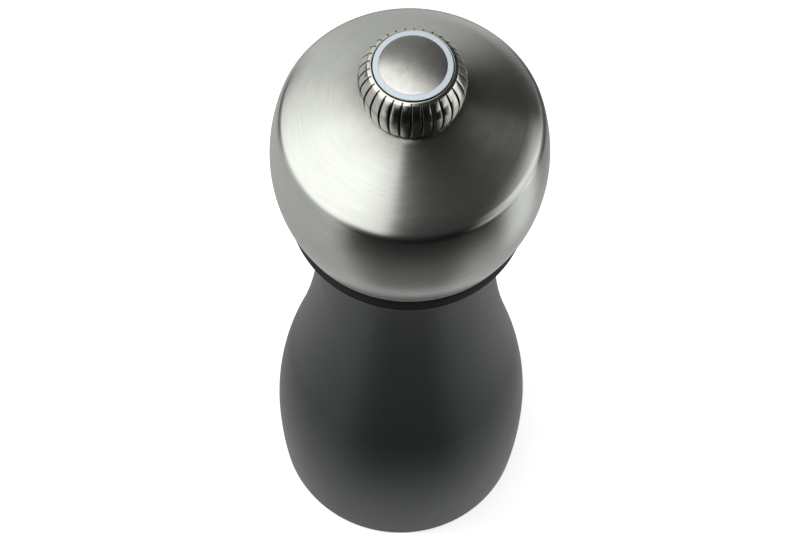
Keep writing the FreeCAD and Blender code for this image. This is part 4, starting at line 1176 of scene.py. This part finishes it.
def soft_edge(share, widths):
    """0 at both ends of a span and 1 inside, with a smooth way of its own width at each end."""
    near = min(share / widths[0], (1.0 - share) / widths[1], 1.0)
    return near * near * (3 - 2 * near)


def card_material(name, shade):
    """It glows where cover is 1 and isn't there where cover is 0."""
    material = bpy.data.materials.new(name)
    material.use_nodes = True
    tree = material.node_tree
    tree.nodes.remove(tree.nodes["Principled BSDF"])
    face = place(tree, "Emission", {"Color": colour(1.0, 1.0, 1.0), "Strength": shade})
    nothing = place(tree, "BsdfTransparent")
    cover = place(tree, "Attribute", attribute_name="cover")
    mixed = place(tree, "MixShader", {
        0: cover.outputs["Fac"], 1: nothing.outputs[0], 2: face.outputs[0]})
    wire(tree, tree.nodes["Material Output"], Surface=mixed.outputs[0])
    return material


def make_card(name, shade, spot, first, second, soft):
    """A card spanned by spot(first, second); soft says which share of each span fades."""
    row_length = CARD_STEPS + 1
    grid = [(column / CARD_STEPS, row / CARD_STEPS)
            for row in range(row_length) for column in range(row_length)]
    verts = [spot(first[0] + (first[1] - first[0]) * across,
                  second[0] + (second[1] - second[0]) * up) for across, up in grid]
    corners = [row * row_length + column for row in range(CARD_STEPS) for column in range(CARD_STEPS)]
    faces = [(corner, corner + 1, corner + row_length + 1, corner + row_length)
             for corner in corners]
    card = add_mesh(name, verts, faces, card_material(name, shade))
    layer = card.data.attributes.new("cover", "FLOAT", "POINT")
    layer.data.foreach_set("value", [soft_edge(across, soft[0]) * soft_edge(up, soft[1])
                                     for across, up in grid])
    card.visible_camera = False
    card.visible_diffuse = False
    card.visible_shadow = False
    card.visible_transmission = False


print("a card has %d places each way" % (CARD_STEPS + 1))

# %% [markdown]
# ### Where a card can be
# Most cards are patches of a ball round the mill, so that an azimuth and an elevation
# say what the steel sees. One stands upright beside the mill and one lies level above
# it, because their straight edges show in the cone. The others lie on the table.

# %% Places on a card
CREASE = Vector((0.0, 0.0, 175.0 * MM))


def level_way(azimuth):
    """The level direction at an azimuth, and the one to its left, seen from the mill."""
    turn = math.radians(azimuth)
    way = Vector((math.sin(turn), -math.cos(turn), 0.0))
    return way, Vector((-way.y, way.x, 0.0))


def hung_at(distance):
    """Places on a ball round the mill, by azimuth and elevation."""
    return lambda azimuth, elevation: towards(azimuth, elevation, distance)


def hung_flat(distance, azimuth):
    """Places on an upright card that faces the mill, by width and by height over the crease."""
    way, side = level_way(azimuth)
    return lambda along, up: CREASE + way * distance + side * along + Vector((0.0, 0.0, up))


def laid_above(height, azimuth):
    """Places on a level card above the mill, along an azimuth and to the left of it."""
    way, side = level_way(azimuth)
    return lambda along, across: way * along + side * across + Vector((0.0, 0.0, height))


def laid_down(height):
    """Places on the table, a hair above it, by azimuth and distance from the axis."""
    return lambda azimuth, reach: level_way(azimuth)[0] * reach + Vector((0.0, 0.0, height))


print("places: hung_at, hung_flat, laid_above, laid_down")

# %% [markdown]
# ### Cards round and above the mill
# Each row gives a name, how white the card is, where it is, its two spans, and the
# share of each span that fades at its two ends. A nearer card covers a farther one:
# the two gaps are small dark cards that hang in front of bright or grey ones.

# %% Cards round and above the mill
HUNG_CARDS = (
    ("left_card", 1.72, hung_at(0.80), (-146.0, -2.0), (2.0, 89.0), ((0.35, 0.38), (0.3, 0.02))),
    ("low_card", 0.62, hung_at(0.81), (-140.0, -24.0), (-14.0, 14.0), ((0.2, 0.2), (0.2, 0.2))),
    ("back_card", 0.64, hung_at(0.78), (134.0, 232.0), (-34.0, 42.0), ((0.57, 0.42), (0.2, 0.2))),
    ("high_card", 0.2, hung_at(0.79), (118.0, 246.0), (33.0, 82.0), ((0.25, 0.25), (0.25, 0.2))),
    ("top_card", 1.75, laid_above(0.8, 139.5), (-0.25, 0.306), (-0.15, 0.75), ((0.1, 0.38), (0.1, 0.35))),
    ("right_card", 0.04, hung_at(0.76), (-17.0, 194.0), (-6.0, 89.0), ((0.04, 0.24), (0.2, 0.02))),
    ("side_card", 1.3, hung_flat(0.45, 72.0), (-0.24, 0.66), (-0.04, 0.315), ((0.38, 0.5), (0.2, 0.2))),
    ("left_gap", 0.08, hung_at(0.72), (-152.0, -92.0), (-14.0, 19.0), ((0.35, 0.35), (0.3, 0.4))),
    ("right_gap", 0.1, hung_at(0.56), (94.0, 164.0), (-18.0, 4.0), ((0.25, 0.3), (0.3, 0.3))),
    ("front_card", 0.008, hung_at(0.55), (-52.0, 60.0), (-44.0, 36.0), ((0.2, 0.2), (0.2, 0.35))),
)
for card in HUNG_CARDS:
    make_card(*card)
print("cards round the mill:", len(HUNG_CARDS))

# %% [markdown]
# ### Cards on the table
# The belt and the lacquer mirror the table. It is nearly black in front and dark at
# the back right, grey behind and on the left, with a small pale patch on the right.
# A grey ring round the foot is painted shadow: the mill's own shadow on the table, as reflections show
# it.
# Two surfaces at one height would fight, so each card lies a hair above those before it.

# %% Cards on the table
CARD_LIFT = 0.3 * MM
CARD_PITCH = 0.2 * MM
TABLE_CARDS = (
    ("table_card", 0.19, (-104.0, 116.0), (0.026, 0.3), ((0.42, 0.42), (0.06, 0.3))),
    ("side_table_card", 0.48, (30.0, 330.0), (0.04, 0.22), ((0.1, 0.1), (0.1, 0.4))),
    # painted shadow: a grey ring round the foot, the mill's own shadow on the table in reflections
    ("foot_shadow_card", 0.55, (-180.0, 180.0), (0.03, 0.08), ((0.001, 0.001), (0.02, 0.6))),
    ("dark_table_card", 0.012, (-66.0, 92.0), (0.09, 0.88), ((0.24, 0.24), (0.2, 0.06))),
    ("back_table_card", 0.45, (122.0, 240.0), (0.06, 0.88), ((0.2, 0.25), (0.1, 0.08))),
    ("left_table_card", 0.58, (-176.0, -34.0), (0.08, 0.88), ((0.28, 0.2), (0.12, 0.08))),
    ("right_table_card", 0.12, (90.0, 160.0), (0.11, 0.88), ((0.22, 0.25), (0.15, 0.08))),
    ("pale_table_card", 0.95, (64.0, 112.0), (0.1, 0.34), ((0.45, 0.45), (0.15, 0.4))),
)
for step, (name, shade, azimuths, reach, soft) in enumerate(TABLE_CARDS):
    make_card(name, shade, laid_down(CARD_LIFT + CARD_PITCH * step), azimuths, reach, soft)
print("cards on the table:", len(TABLE_CARDS))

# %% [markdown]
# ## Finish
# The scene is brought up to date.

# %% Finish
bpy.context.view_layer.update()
